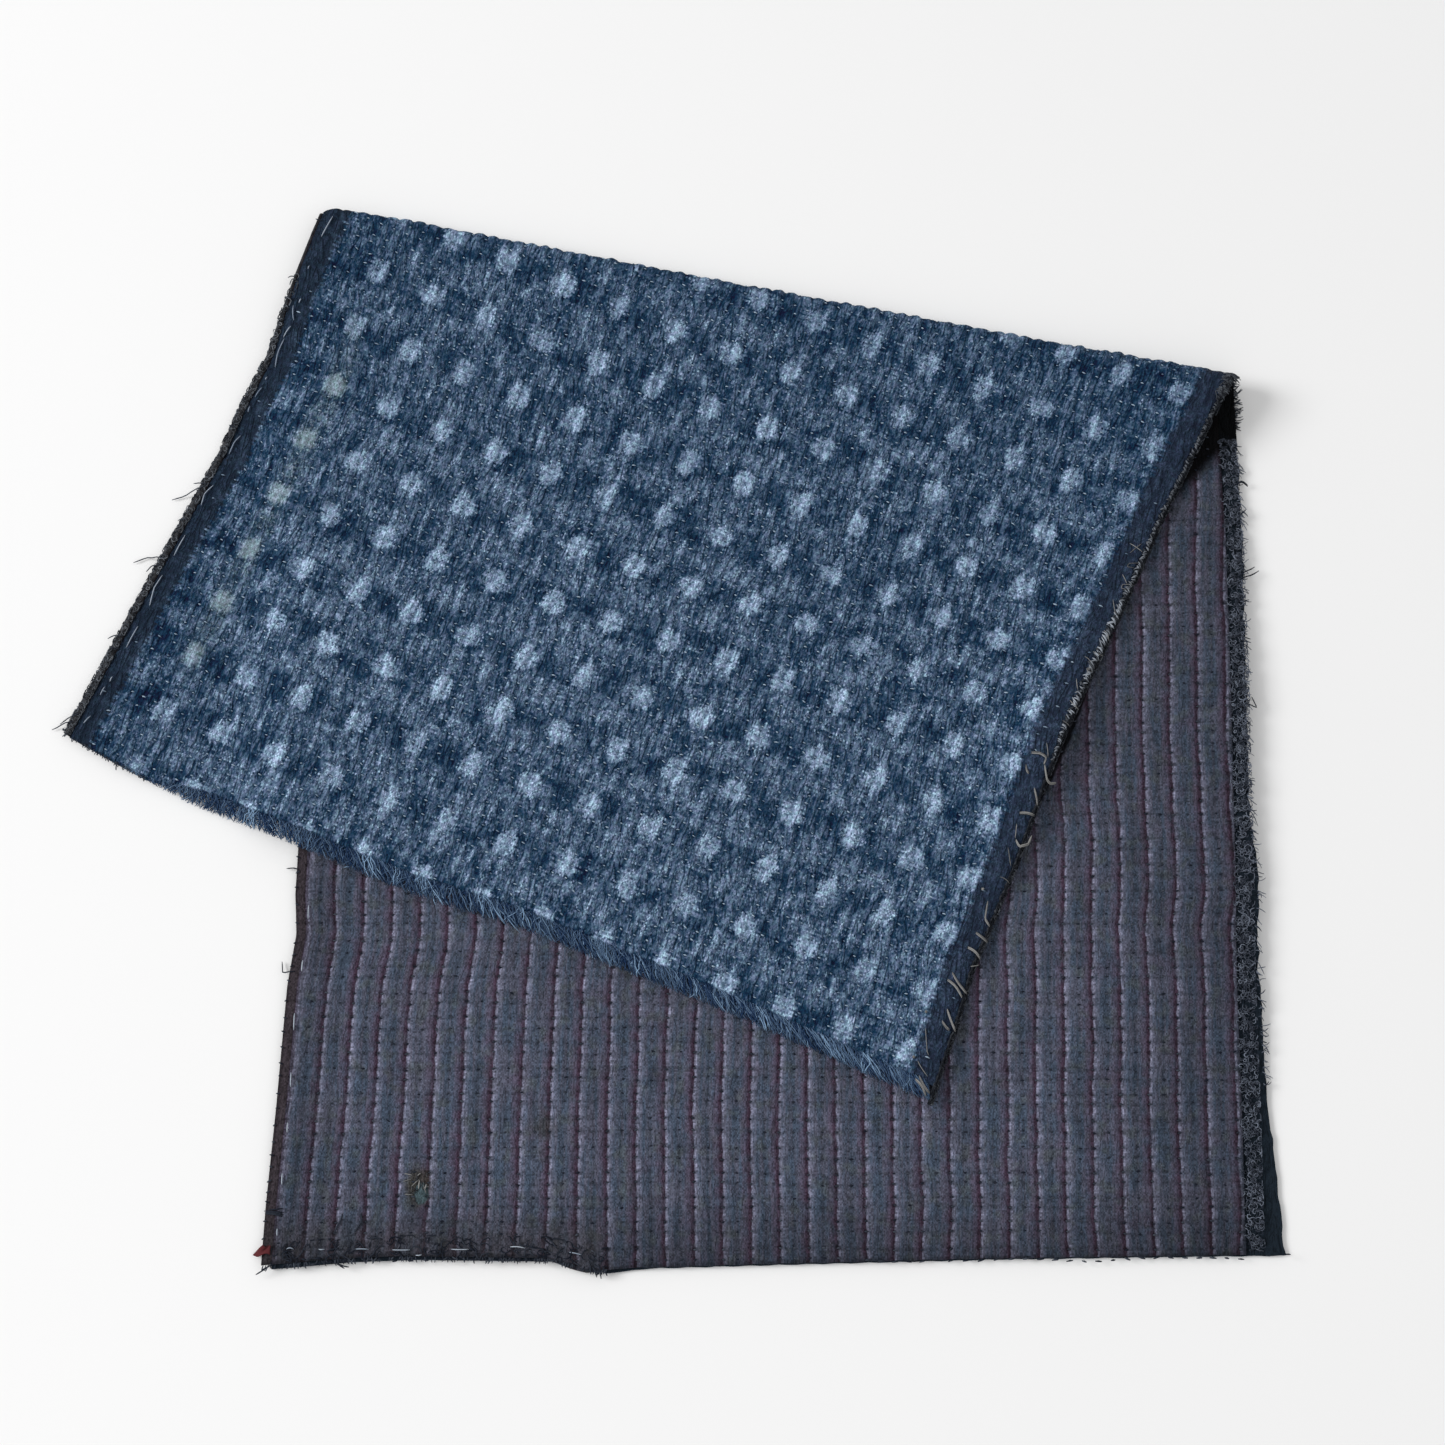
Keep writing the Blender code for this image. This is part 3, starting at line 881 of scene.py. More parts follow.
kasuriDye = {
    "columnPitch": 22.93,
    "firstColumn": -142.9,
    "rowPitch": 22.8,
    "firstRow": 393.5,
    "spotAcross": 3.8,  # half the size of a spot
    "spotAlong": 4.6,
    "streakAlong": 4.7,
    "borders": (-161.5, 159.0),
    "dark": 0.036,  # how much light the dyed yarn gives back, in its green
    "middle": 0.156,
    "pale": 0.378,
    "redOf": (0.76, -0.0185),  # its red and its blue follow from that: bluer where darker
    "blueOf": (1.22, 0.0175),
    "bluePower": 0.9,
    "leftBorder": (0.020, 0.035, 0.064, 1.0),
    "rightBorder": (0.028, 0.043, 0.080, 1.0),
    "inner": (0.010, 0.017, 0.026, 1.0),
    "redder": (1.06, 0.955, 1.02, 1.0),
    "greener": (0.94, 1.045, 0.98, 1.0),
    "stain": (0.235, 0.310, 0.285, 1.0),
    "stainColumn": -142.0,  # the soiled spots by the left edge
    "stainStart": (430.0, 460.0),
    "stainEnd": (590.0, 570.0),
    "streaksApart": 1.85,  # from the middle to each of two streaks
    "paleFromFold": (350.0, 412.0),  # paler from the fold towards the flap's end, and away from its left edge
    "paleAlong": (400.0, 560.0),
    "paleFromLeft": (-158.0, -120.0),
}


def makeKasuriMaterial():
    dye = kasuriDye
    material, tree, shader = newMaterial("kasuriCotton")
    across, along = clothPlace(tree)
    here = {"Across": across, "Along": along}
    weave = fillGroup(tree, weaveGroup, here | {"Warp Spacing": 0.58, "Weft Spacing": 0.76})
    quilt = fillGroup(tree, quiltGroup, here | {"Spacing": quilting["spacing"], "Lean": quilting["lean"]})
    warpChance, weftChance = weave["Warp Chance"], weave["Weft Chance"]
    jitterAcross = (noise(across, along, 0.035) - 0.5) * 2.0
    jitterAlong = (noise(along, across, 0.03) - 0.5) * 2.0
    column = (across + jitterAcross - dye["firstColumn"]) / dye["columnPitch"]
    row = (along + jitterAlong - dye["firstRow"]) / dye["rowPitch"]

    def apart(value, pitch, half):
        # Distance in millimetres from the nearest spot, or from the middle between two
        whole = math.floor(value) if half else round(value)
        away = value - whole - (0.5 if half else 0.0)
        return abs(away) * pitch

    spotX, spotY = apart(column, dye["columnPitch"], False), apart(row, dye["rowPitch"], False)
    midX, midY = apart(column, dye["columnPitch"], True), apart(row, dye["rowPitch"], True)

    def within(distance, size, spread, luck, soft):
        # 1 inside size, which each yarn's luck makes a little longer or shorter
        limit = (luck - 0.5) * spread + size
        return ramp(limit - distance, -soft, soft)

    spotLuck = chance(round(column) + round(row) * 17.3)
    ragged = (noise(across, along, 0.3, 2.0) - 0.5) * 3.6
    sizeX = spotLuck * 1.2 + (dye["spotAcross"] - 0.6) + ragged
    sizeY = spotLuck * -1.2 + (dye["spotAlong"] + 0.6) + ragged

    def oval(longer, wider):
        # A soft round spot that one yarn's luck draws out
        x = (spotX / maths("MAXIMUM", sizeX + wider, 0.5)) ** 2.4
        y = (spotY / maths("MAXIMUM", sizeY + longer, 0.5)) ** 2.4
        return ramp(x + y, 1.5, 0.45)

    warpSpot = oval((warpChance - 0.4) * 4.0, 0.0)
    weftSpot = oval(0.0, (weftChance - 0.4) * 4.5)
    double = math.floor(column) % 2.0
    single = 1.0 - double
    oneStreak = ramp(midX, 1.1, 0.4) * single
    twoStreaks = ramp(abs(midX - dye["streaksApart"]), 0.8, 0.2) * double
    streakEnds = within(midY, dye["streakAlong"], 4.0, warpChance, 1.2)
    streak = (oneStreak + twoStreaks) * streakEnds
    streak *= ramp(noise(across, along, 0.22), 0.3, 0.55)
    band = ramp(midY, 8.5, 3.5)
    patch = ramp(noise(across, along, 0.09, 2.0), 0.38, 0.62)

    def alongYarn(way, stretch, shift, step):
        # Noise that is drawn out along single yarns
        place, luck = (across, weftChance) if way == "Weft" else (along, warpChance)
        return noise(place * stretch + luck * shift, weave[way + " Number"] * step)

    def flecks(noisy, patchy):
        # More of them in the bands between the spots and in patches
        return ramp(noisy - (0.64 - (band * 0.12 + patch * patchy)), 0.0, 0.16)

    weftTicks = flecks(alongYarn("Weft", 0.42, 91.0, 3.7), 0.08)
    warpFlecks = flecks(alongYarn("Warp", 0.3, 77.0, 4.3), 0.06)
    crossed = ramp(noise(across, along, 0.055), 0.46, 0.6) * 0.85
    weftLine = ramp(alongYarn("Weft", 0.11, 53.0, 5.3), 0.61, 0.68)
    warpLine = ramp(alongYarn("Warp", 0.11, 41.0, 6.1), 0.63, 0.7)
    weftPale = maths("MAXIMUM", weftSpot * 0.85, weftTicks * 0.62)
    weftPale = maths("MAXIMUM", weftPale, weftLine * crossed)
    warpPale = maths("MAXIMUM", warpSpot, maths("MAXIMUM", streak, warpFlecks * 0.14))
    warpPale = maths("MAXIMUM", warpPale, warpLine * crossed)
    low, high = dye["borders"]
    borderPlace = across + (weftChance - 0.5) * 2.5
    inside = ramp(borderPlace, low - 0.8, low + 0.8) * ramp(borderPlace, high + 1.2, high - 1.2)
    onTop = weave["Warp On Top"] * 0.62 + 0.19
    paleness = (warpPale * onTop + weftPale * (1.0 - onTop)) * inside
    cloud = noise(across, along, 0.11, 4.0)
    cloud = maths("ADD", ramp(cloud, 0.3, 0.72), band * 0.25, clamp=True)
    ground = cloud * (dye["middle"] - dye["dark"]) + dye["dark"]
    depth = ground + paleness * (dye["pale"] - ground)
    leftmost = ramp(abs(across - dye["stainColumn"]), 7.0, 2.0)
    soiled = leftmost * (ramp(along, *dye["stainStart"]) * ramp(along, *dye["stainEnd"]))
    soiled *= paleness * 0.42 + 0.03
    # Paler on the ridges and darker in the valleys: partly wear, partly painted shade of the relief
    wearAndShade = ramp(quilt["Relief"], -0.05, 0.7) * 0.6 + 0.55
    yarnTone = (warpChance + weftChance) * 0.12 + 0.29
    yarnTone += weave["Crossing Chance"] * 1.35
    crease = quilt["Crease"] * (1.0 - paleness * 0.7)
    shadow = 1.0 - crease * 0.68
    shadow *= 1.0 - quilt["Dent"] * 0.55
    tufts = noise(across * 0.75, along * 2.1, 1.0, 2.0)
    tufts = ramp(tufts, 0.3, 0.7) * 0.36 + 0.82
    shadow *= tufts
    placeTone = ramp(along, *dye["paleFromFold"]) * 0.2 + 0.68
    placeTone += ramp(along, *dye["paleAlong"]) * 0.13
    placeTone *= ramp(across, *dye["paleFromLeft"]) * 0.26 + 0.74
    tone = wearAndShade * yarnTone * (shadow * placeTone)
    lit = depth * tone
    red = maths("MAXIMUM", lit * dye["redOf"][0] + dye["redOf"][1], 0.003)
    blue = lit ** dye["bluePower"]
    blue = blue * dye["blueOf"][0] + dye["blueOf"][1]
    indigo = drawn("ShaderNodeCombineXYZ", {"X": red, "Y": lit, "Z": blue})
    border = mix(ramp(across, -20.0, 20.0), dye["leftBorder"], dye["rightBorder"])
    border = scaled(border, tone * 0.6 + 0.33)  # the borders show their yarns less
    shaded = mix((1.0 - inside) * 0.85, indigo, border)
    shaded = mix(soiled, shaded, dye["stain"])
    hue = mix(ramp(noise(across, along, 0.55, 3.0), 0.35, 0.65), dye["redder"], dye["greener"])
    shaded = drawn("ShaderNodeVectorMath", {0: shaded, 1: hue}, operation="MULTIPLY")
    inner = readAttribute(tree, "inner")
    # The inner face is darkened by painted shade in the fold
    tucked = readAttribute(tree, "tucked")
    dark = scaled(dye["inner"][:3], 1.0 - tucked * 0.9)
    shaded = mix(ramp(inner, 0.3, 0.7), shaded, dark)
    tree.links.new(shaded.socket, shader.inputs["Base Color"])
    height = weave["Height"] * 0.1
    height -= crease * 0.65
    height -= quilt["Dent"] * 0.5
    height += noise(across, along, 0.45, 3.0) * 0.8
    addBump(tree, shader, height)
    return material


liningDye = {
    "pitch": 9.94,
    "firstStripe": -155.6,
    "hemLine": -166.3,
    "slate": (0.050, 0.070, 0.106, 1.0),
    "grey": (0.078, 0.083, 0.119, 1.0),
    "purple": (0.056, 0.030, 0.053, 1.0),
    "mauve": (0.078, 0.060, 0.096, 1.0),
    "lilac": (0.290, 0.290, 0.410, 1.0),
    "hem": (0.046, 0.037, 0.045, 1.0),
    "rim": (0.025, 0.027, 0.033, 1.0),
    "rimPale": (0.070, 0.071, 0.076, 1.0),
    "soil": (0.066, 0.062, 0.068, 1.0),
    "hole": (-119.1, 26.4),
    "holeTeal": (0.060, 0.092, 0.105, 1.0),
    "olive": (0.045, 0.040, 0.028, 1.0),
    "moss": (0.066, 0.079, 0.080, 1.0),
    "soiledEnd": (24.0, 11.0),  # along the cloth, from where the soiled hem starts to where it is full
    "soiledRight": (-52.0, -62.0),  # and across it
    "spot": (-78.0, 47.0),
    "shadeEnd": (0.0, 32.0),
    "shadeRight": (90.0, 160.0),
    "shadeLeft": (-144.0, -158.0),
}


def makeLiningMaterial():
    dye = liningDye
    material, tree, shader = newMaterial("stripedCotton")
    across, along = clothPlace(tree)
    here = {"Across": across, "Along": along}
    weave = fillGroup(tree, weaveGroup, here | {"Warp Spacing": 0.5, "Weft Spacing": 0.6})
    marks = {"Spacing": quilting["liningSpacing"], "Lean": 0.03, "Between": 0.35}
    quilt = fillGroup(tree, quiltGroup, here | marks)
    sway = (noise(across, along, 0.05, 2.0) - 0.5) * 1.0
    sway += (noise(across, along, 0.28, 2.0) - 0.5) * 1.3
    place = across - dye["firstStripe"] + sway
    share = place / dye["pitch"] - round(place / dye["pitch"])
    away = share * dye["pitch"]  # from the purple stripe's right side
    streaks = noise(across * 0.9, along * 0.05, 1.0, 3.0)
    cloud = noise(across, along, 0.07, 4.0)
    mottle = streaks + (cloud - 0.5) * 0.9
    ground = mix(ramp(mottle, 0.33, 0.7), dye["slate"], dye["grey"])
    brown = ramp(noise(across, along, 0.1, 2.0), 0.55, 0.75) * 0.35
    ground = mix(brown, ground, dye["mauve"])
    mossy = ramp(noise(across, along, 0.17, 2.0), 0.5, 0.68) * 0.5
    ground = mix(mossy, ground, dye["moss"])
    unbroken = 1.0 - quilt["Row"] * 0.45
    uneven = ramp(noise(across, along, 0.2, 2.0), 0.3, 0.6)
    mauve = ramp(away, -4.2, -2.0) * ramp(away, 0.15, -0.15)
    purple = ramp(away, -1.9, -0.8) * ramp(away, 0.2, -0.2)
    # Painted light: lilac on the side of each ridge, right of the purple stripe, that faces the lamp
    litFlank = ramp(away, 0.0, 0.5) * ramp(away, 2.6, 0.9)
    line = ramp(away, -0.2, 0.1) * ramp(away, 1.0, 0.5)
    speckle = weave["Weft Chance"] * weave["Height"]
    lineStrength = maths("MULTIPLY", line * unbroken, speckle * 0.9 + 0.45, clamp=True)
    lineStrength *= uneven * 0.55 + 0.45
    litFlankPaint = litFlank * unbroken * (uneven * 0.22 + 0.08)
    colour = mix(mauve * (uneven * 0.5 + 0.2), ground, dye["mauve"])
    colour = mix(purple * (uneven * 0.45 + 0.36), colour, dye["purple"])
    colour = mix(litFlankPaint, colour, dye["lilac"])
    colour = mix(lineStrength, colour, dye["lilac"])
    hem = ramp(across, dye["hemLine"], dye["hemLine"] - 0.5)
    colour = mix(hem, colour, dye["hem"])
    hemLine = ramp(abs(across - (dye["hemLine"] + 0.5)), 0.75, 0.3)
    colour = mix(hemLine * (uneven * 0.35 + 0.1), colour, dye["lilac"])
    holeX = across - dye["hole"][0]
    holeY = along - dye["hole"][1]
    edge = (noise(across, along, 0.5, 2.0) - 0.5) * 3.0
    holeAway = maths("SQRT", (holeX * 1.5) ** 2.0 + holeY ** 2.0)
    stain = ramp(holeAway + edge, 9.0, 4.0)
    colour = mix(stain * 0.75, colour, dye["olive"])
    tealX, tealY = (holeX - 1.0) * 1.6, holeY + 2.4
    tealAway = maths("SQRT", tealX * tealX + tealY * tealY)
    inHole = ramp(tealAway + edge * 0.6, 4.3, 3.1)
    colour = mix(inHole, colour, dye["holeTeal"])
    soilNoise = noise(across, along, 0.35, 3.0)
    soiled = ramp(along + soilNoise * 9.0, *dye["soiledEnd"]) * ramp(across, *dye["soiledRight"])
    colour = mix(soiled * (soilNoise * 0.7 + 0.1), colour, dye["soil"])
    spotAway = abs(across - dye["spot"][0]) + abs(along - dye["spot"][1])
    colour = mix(ramp(spotAway, 9.0, 1.0) * 0.5, colour, dye["olive"])
    # Paler on the ridges and darker in the valleys: partly wear, partly painted shade of the relief
    wearAndShade = ramp(quilt["Relief"], -0.1, 0.7) * 0.5 + 0.64
    yarns = weave["Warp Chance"] + weave["Weft Chance"]
    crumbs = ramp(noise(across, along, 0.9, 2.0), 0.3, 0.7)
    grain = yarns * 0.07 + (crumbs * 0.28 + 0.46)
    grain += weave["Crossing Chance"] * 0.8
    shadow = 1.0 - quilt["Dent"] * 0.42
    shadow *= 1.0 - quilt["Crease"] * 0.22
    shadow *= ramp(along, *dye["shadeEnd"]) * 0.4 + 0.6
    shadow *= 1.0 - ramp(across, *dye["shadeRight"]) * 0.27
    shadow *= 1.0 - ramp(across, *dye["shadeLeft"]) * 0.2
    # Painted shade in the fold and beside the flap's edge
    tucked = readAttribute(tree, "tucked")
    shadow *= 1.0 - tucked * 0.97
    tone = wearAndShade * grain * shadow
    shaded = scaled(colour, tone)
    inner = readAttribute(tree, "inner")
    rimColour = mix(ramp(noise(across, along, 0.6, 3.0), 0.35, 0.7), dye["rim"], dye["rimPale"])
    shaded = mix(ramp(inner, 0.3, 0.8), shaded, rimColour)
    tree.links.new(shaded.socket, shader.inputs["Base Color"])
    height = weave["Height"] * 0.09
    height -= quilt["Dent"] * 0.6
    height -= quilt["Crease"] * 0.2
    height -= inHole * 0.5
    height += noise(across, along, 0.5, 3.0) * 0.7
    addBump(tree, shader, height)
    return material


def makeYarnMaterial(name, dark, pale):
    # Each yarn's own tone lies between dark and pale, with lighter and darker fibres along it
    material, tree, shader = newMaterial(name)
    tone = readAttribute(tree, "tone")
    place = Signal(addNode(tree, "ShaderNodeTexCoord").outputs["Object"])
    inputs = {"Vector": place, "Scale": cotton["fibreScale"], "Detail": cotton["fibreDetail"]}
    fibres = drawn("ShaderNodeTexNoise", inputs, "Fac")
    mixed = maths("ADD", tone, (fibres - 0.5) * cotton["fibreTone"], clamp=True)
    colour = mix(mixed, (*dark, 1.0), (*pale, 1.0))
    tree.links.new(colour.socket, shader.inputs["Base Color"])
    addBump(tree, shader, fibres, cotton["fibreHeight"], cotton["fibreBump"])
    return material


print("Sheets of cloth")
kasuriCotton = makeKasuriMaterial()
stripedCotton = makeLiningMaterial()
kasuriMesh = sheetMesh("kasuriCloth", grid["kasuriCuts"], kasuriFine, kasuriPlace)
kasuriCloth = addPiece("kasuriCloth", kasuriMesh, kasuriCotton, "kasuri_indigo")
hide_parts("kasuri_panel")
liningMesh = sheetMesh("liningCloth", grid["liningCuts"], liningFine, liningPlace)
liningCloth = addPiece("liningCloth", liningMesh, stripedCotton, "lining_slate")
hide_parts("lining_panel")


def strandPiece(name, strands, material, slot):
    # strands are rows of (points in millimetres, radius, tone), each a four-sided yarn with thin ends
    curve = bpy.data.curves.new(name + "Lines", "CURVE")
    curve.dimensions = "3D"
    curve.bevel_depth = mm
    curve.bevel_resolution = 0
    tones = []
    for points, radius, tone in strands:
        spline = curve.splines.new("POLY")
        spline.points.add(len(points) - 1)
        places = np.column_stack((toFrame(points), np.ones(len(points))))
        spline.points.foreach_set("co", places.astype(np.float32).ravel())
        radii = np.full(len(points), radius, np.float32)
        radii[[0, -1]] *= 0.55
        spline.points.foreach_set("radius", radii)
        tones.append(np.full(4 * len(points), tone))
    lines = bpy.data.objects.new(name + "Lines", curve)
    mesh = bpy.data.meshes.new_from_object(lines)
    mesh.name = name
    bpy.data.objects.remove(lines)
    bpy.data.curves.remove(curve)
    bm = bmesh.new()
    bm.from_mesh(mesh)
    bmesh.ops.holes_fill(bm, edges=[edge for edge in bm.edges if edge.is_boundary], sides=4)
    bmesh.ops.recalc_face_normals(bm, faces=bm.faces)
    bm.to_mesh(mesh)
    bm.free()
    setValues(mesh, "tone", np.concatenate(tones))
    mesh.shade_smooth()
    return addPiece(name, mesh, material, slot)


def quiltStitches(rows, spacing, first, shift):
    # Across and along of every stitch, in the valleys between the ridges
    row, count = np.meshgrid(rows, np.arange(-40, 81), indexing="ij")
    start = first + count * spacing
    across = start
    along = row
    for _ in range(4):
        along = row + along - straightened(across, along)
        across = start + shift(across, along)
    return across.ravel(), along.ravel()


stitch = {
    "half": 0.8, "radius": 0.28, "sunk": 0.1, "proud": 0.2, "turn": 0.18,
    "missing": 0.08, "inBorder": 0.2,  # the shares of stitches left out, and kept in the borders
    "liningSize": 1.25,
}


def stitchStrands(across, along, offsetOf, side, size, seed):
    # Short stitches across the cloth whose ends go down into it
    rng = np.random.default_rng(seed)
    count = len(across)
    turn = rng.normal(0, stitch["turn"], count)
    half = size * stitch["half"] * rng.uniform(0.7, 1.25, count)
    steps = np.array((-1.0, 0.0, 1.0))
    acrossAll = across[:, None] + (half * np.cos(turn))[:, None] * steps
    alongAll = along[:, None] + (half * np.sin(turn))[:, None] * steps
    rise = np.array((-stitch["sunk"], stitch["proud"], -stitch["sunk"]))
    offset = side * (offsetOf(across, along)[:, None] + rise)
    points = layOff(acrossAll, alongAll, offset)
    radii = size * stitch["radius"] * rng.uniform(0.75, 1.15, count)
    tones = rng.uniform(0.0, 1.0, count) ** size
    kept = rng.random(count) > stitch["missing"]
    return [(points[n], radii[n], tones[n]) for n in np.flatnonzero(kept)]


print("Quilting stitches")


def makeKasuriStitches():
    rows = rowAlong[rowAlong > quilting["kasuriRows"]]
    across, along = quiltStitches(rows, quilting["spacing"], 0.0, kasuriShift)
    share = kasuriShare(across, along)
    radius, _, past = foldAt(across, along)
    kept = (share > 0.008) & (share < 0.992) & (past > -0.3 * radius) & (along < kasuriEnd(share) - 1.5)
    inBorder = (share < 0.03) | (share > 0.962)
    kept &= ~inBorder | (np.random.default_rng(20).random(len(share)) < stitch["inBorder"])
    across, along = across[kept], along[kept]

    def surface(across, along):
        share = kasuriShare(across, along)
        return cloth["halfStack"] + quilting["height"] * kasuriSurface(across, along, share)

    return stitchStrands(across, along, surface, -1, 1.0, 21)


def makeLiningStitches():
    rows = rowAlong[rowAlong < quilting["liningRows"]]
    u, along = quiltStitches(rows, quilting["liningSpacing"], quilting["liningFirst"], liningShift)
    left, right = edgeLine("left", along), edgeLine("right", along)
    across = left + (u / cloth["width"] + 0.5) * (right - left)
    radius, _, past = foldAt(across, along)
    kept = (across > left + 6) & (across < liningRight(along) - 1.5) & (past < -1.7 * radius)
    kept &= inSight(across, along, 5.0)

    def surface(across, along):
        u = liningAcross(across, along)
        return cloth["halfStack"] + quilting["liningHeight"] * liningRelief(u, along) - 0.1

    return stitchStrands(across[kept], along[kept], surface, 1, stitch["liningSize"], 22)


quiltThread = makeYarnMaterial("quiltThread", (0.095, 0.145, 0.215), (0.350, 0.450, 0.550))
darkThread = makeYarnMaterial("darkThread", (0.008, 0.011, 0.020), (0.055, 0.065, 0.085))
kasuriStitches = strandPiece("kasuriStitches", makeKasuriStitches(), quiltThread, "kasuri_indigo")
liningStitches = strandPiece("liningStitches", makeLiningStitches(), darkThread, "lining_slate")

print("Fringe of the kasuri end")
endFringe = {
    "pitch": 0.14,
    "first": 0.06,
    "root": 1.2,
    "lean": (0.1, 1.15),  # from left to right
    "crimp": 0.3,
    "radius": 0.165,
    "tufts": (-85, -41, -29, -19, 3, 17, 43, 62, 84, 107, 131, 149),
}


def makeEndFringe():
    rng = random.Random(11)
    strands = []
    share = endFringe["first"]
    while share < 0.988:
        share += endFringe["pitch"] / 332 * rng.uniform(0.6, 1.4)
        across = float(blend(kasuriLeft(629.5), kasuriRight(629.5), share))
        grown = float(smooth((share - endFringe["first"]) / 0.07))
        start = float(kasuriEnd(np.float64(share))) - endFringe["root"]
        length = float(flapEnd(share)) + rng.uniform(-1.8, 0.5) * grown - 0.3 - start
        tuft = min(abs(across - place) for place in endFringe["tufts"])
        pale = rng.random() < 0.5 and tuft < 1.6
        length += 0.5 * pale * rng.random()
        lean = blend(*endFringe["lean"], share) + rng.gauss(0, 0.6)
        lean = min(lean, (float(kasuriRight(629.5)) - 0.2 - across) / length)
        bend = rng.gauss(0, 0.8)
        level = rng.choice((-1.25, -0.95, -0.6, -0.2))
        t = np.linspace(0, 1, 7)
        crimp = endFringe["crimp"] * np.sin(rng.uniform(8, 14) * t + rng.uniform(0, 6))
        points = layOff(
            across + lean * length * t + bend * np.sin(math.pi * t) + crimp,
            start + length * t,
            level + (0.4 + 0.5 * rng.random()) * t * t - 0.5 * np.sin(math.pi * t),
        )
        blob = abs((share - 0.5) * 340 - kasuriDye["firstColumn"]) % kasuriDye["columnPitch"]
        blob = min(blob, kasuriDye["columnPitch"] - blob)
        tone = 0.95 if pale else 0.5 * rng.random() ** 2.4 + (0.18 if blob < 3 else 0.0)
        strands.append((points, endFringe["radius"] * rng.uniform(0.75, 1.2), tone))
    return strands


blueYarn = makeYarnMaterial("blueYarn", (0.009, 0.027, 0.075), (0.225, 0.350, 0.510))
kasuriEndFringe = strandPiece("kasuriEndFringe", makeEndFringe(), blueYarn, "end_yarn_blue")
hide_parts("kasuri_end_fray")

print("Curly edges of the lining")
sideCurls = {
    "count": 3700, "steps": 6, "step": 0.66, "span": (4.6, 305.5), "band": (-0.9, 6.4),
    "offset": (0.0, 1.5), "radius": 0.155, "turn": (0.4, 1.3), "tones": (0.0, 1.0), "seed": 31,
}
rimCurls = {
    "count": 760, "steps": 8, "step": 0.7, "span": (338.0, 631.0), "band": (-0.3, 1.5),
    "offset": (-0.7, 1.35), "radius": 0.22, "turn": (0.45, 1.0), "tones": (0.0, 0.16), "seed": 32,
}
leftRimCurls = {
    "count": 520, "steps": 7, "step": 0.7, "span": (432.0, 630.0), "band": (0.0, 2.8),
    "offset": (-1.75, -0.8), "radius": 0.2, "turn": (0.45, 1.0), "tones": (0.06, 0.42), "seed": 35,
}
hemTangle = {
    "count": 170, "steps": 7, "step": 0.9, "span": (-0.2, 8.0), "band": (-172.0, -58.0),
    "offset": (1.3, 1.9), "radius": 0.19, "turn": (0.1, 0.7), "tones": (0.0, 0.5), "seed": 36,
}
rope = {
    "span": (338.0, 500.0),
    "pitch": 0.62,
    "along": (338, 400, 425, 445, 482, 500),
    "half": (0.6, 0.75, 1.0, 1.35, 1.2, 0.4),
    "tone": (0.12, 0.25, 0.45, 0.62, 0.66, 0.3),
    "radius": (0.22, 0.36),
}
# Black strands along the flap's right edge, partly its dark cut edge and partly a painted shadow
edgeAndShadowLines = {
    "span": (336.0, 631.0), "piece": 12.0, "radius": 0.36,
    "places": ((0.2, -1.0), (0.5, -0.4), (0.5, 0.3)),  # how far out, and the height
}


def curlStrands(setting, edge, thinning, foot=None):
    # Loose yarns that wind about in a band beside an edge, or above the foot of the cloth
    rng = np.random.default_rng(setting["seed"])
    count = setting["count"]
    low, high = setting["band"]
    along = rng.uniform(*setting["span"], count)
    luck = rng.random(count)
    out = rng.uniform(low, high, count)
    kept = luck < thinning(along, out)
    offset = rng.uniform(*setting["offset"], count)
    heading = rng.uniform(0, 2 * math.pi, count)
    turn = rng.choice((-1.0, 1.0), count) * rng.uniform(*setting["turn"], count)
    path = []
    for _ in range(setting["steps"]):
        path.append((edge(along) + out, along + (foot(out) if foot else 0.0), offset))
        heading = heading + turn + rng.normal(0, 0.35, count)
        along = np.clip(along + setting["step"] * np.cos(heading), *setting["span"])
        out = np.clip(out + setting["step"] * np.sin(heading), low, high)
        offset = np.clip(offset + rng.normal(0, 0.25, count), *setting["offset"])
    path = np.array(path)
    points = layOff(path[:, 0], path[:, 1], path[:, 2])
    kept &= np.linalg.norm(np.diff(points, axis=0), axis=2).min(axis=0) > 0.05  # a yarn never stands still
    radii = setting["radius"] * rng.uniform(0.7, 1.25, count)
    tones = blend(*setting["tones"], rng.random(count) ** 1.8)
    return [(points[:, n], radii[n], tones[n]) for n in np.flatnonzero(kept)]


def clumped(along, out):
    # The side's curls stand in clumps, so their inner line waves
    wave = np.sin(math.pi * along / 6.3 + 1.5 * np.sin(along / 16)) ** 2
    return np.where(out > 1.5 - 2.4 * wave, 0.45 + 0.5 * wave, 0.05)


def everywhere(along, out):
    return 1.0


def pastFold(along, out):
    # The flap's left rim is nearly bare by the fold
    return np.interp(along, (432, 470), (0.2, 1.0))


def hemFoot(across):
    return lowerEnd(fullShare(across, 5.0))


def makeRope():
    # The crossing stitches that bind the flap's right edge
    rng = random.Random(37)
    strands = []
    along = rope["span"][0]
    while along < rope["span"][1]:
        along += rope["pitch"] * rng.uniform(0.6, 1.4)
        half = float(np.interp(along, rope["along"], rope["half"])) * rng.uniform(0.6, 1.1)
        middle = float(kasuriRight(along)) + 0.35 - 0.8 * half + rng.gauss(0, 0.15)
        slant = rng.choice((-0.7, 0.5, 0.9)) + rng.gauss(0, 0.25)
        t = np.linspace(-1, 1, 5)
        bow = rng.gauss(0, 0.3) * (1 - t * t)
        height = -1.5 - rng.uniform(0.1, 0.6) * (1 - t * t) + 0.7 * np.maximum(t, -0.5) ** 2
        points = layOff(middle + half * t, along + slant * half * t + bow, height)
        tone = float(np.interp(along, rope["along"], rope["tone"])) * rng.choice((0.15, 0.9, 1.5))
        strands.append((points, rng.uniform(*rope["radius"]), tone))
    return strands


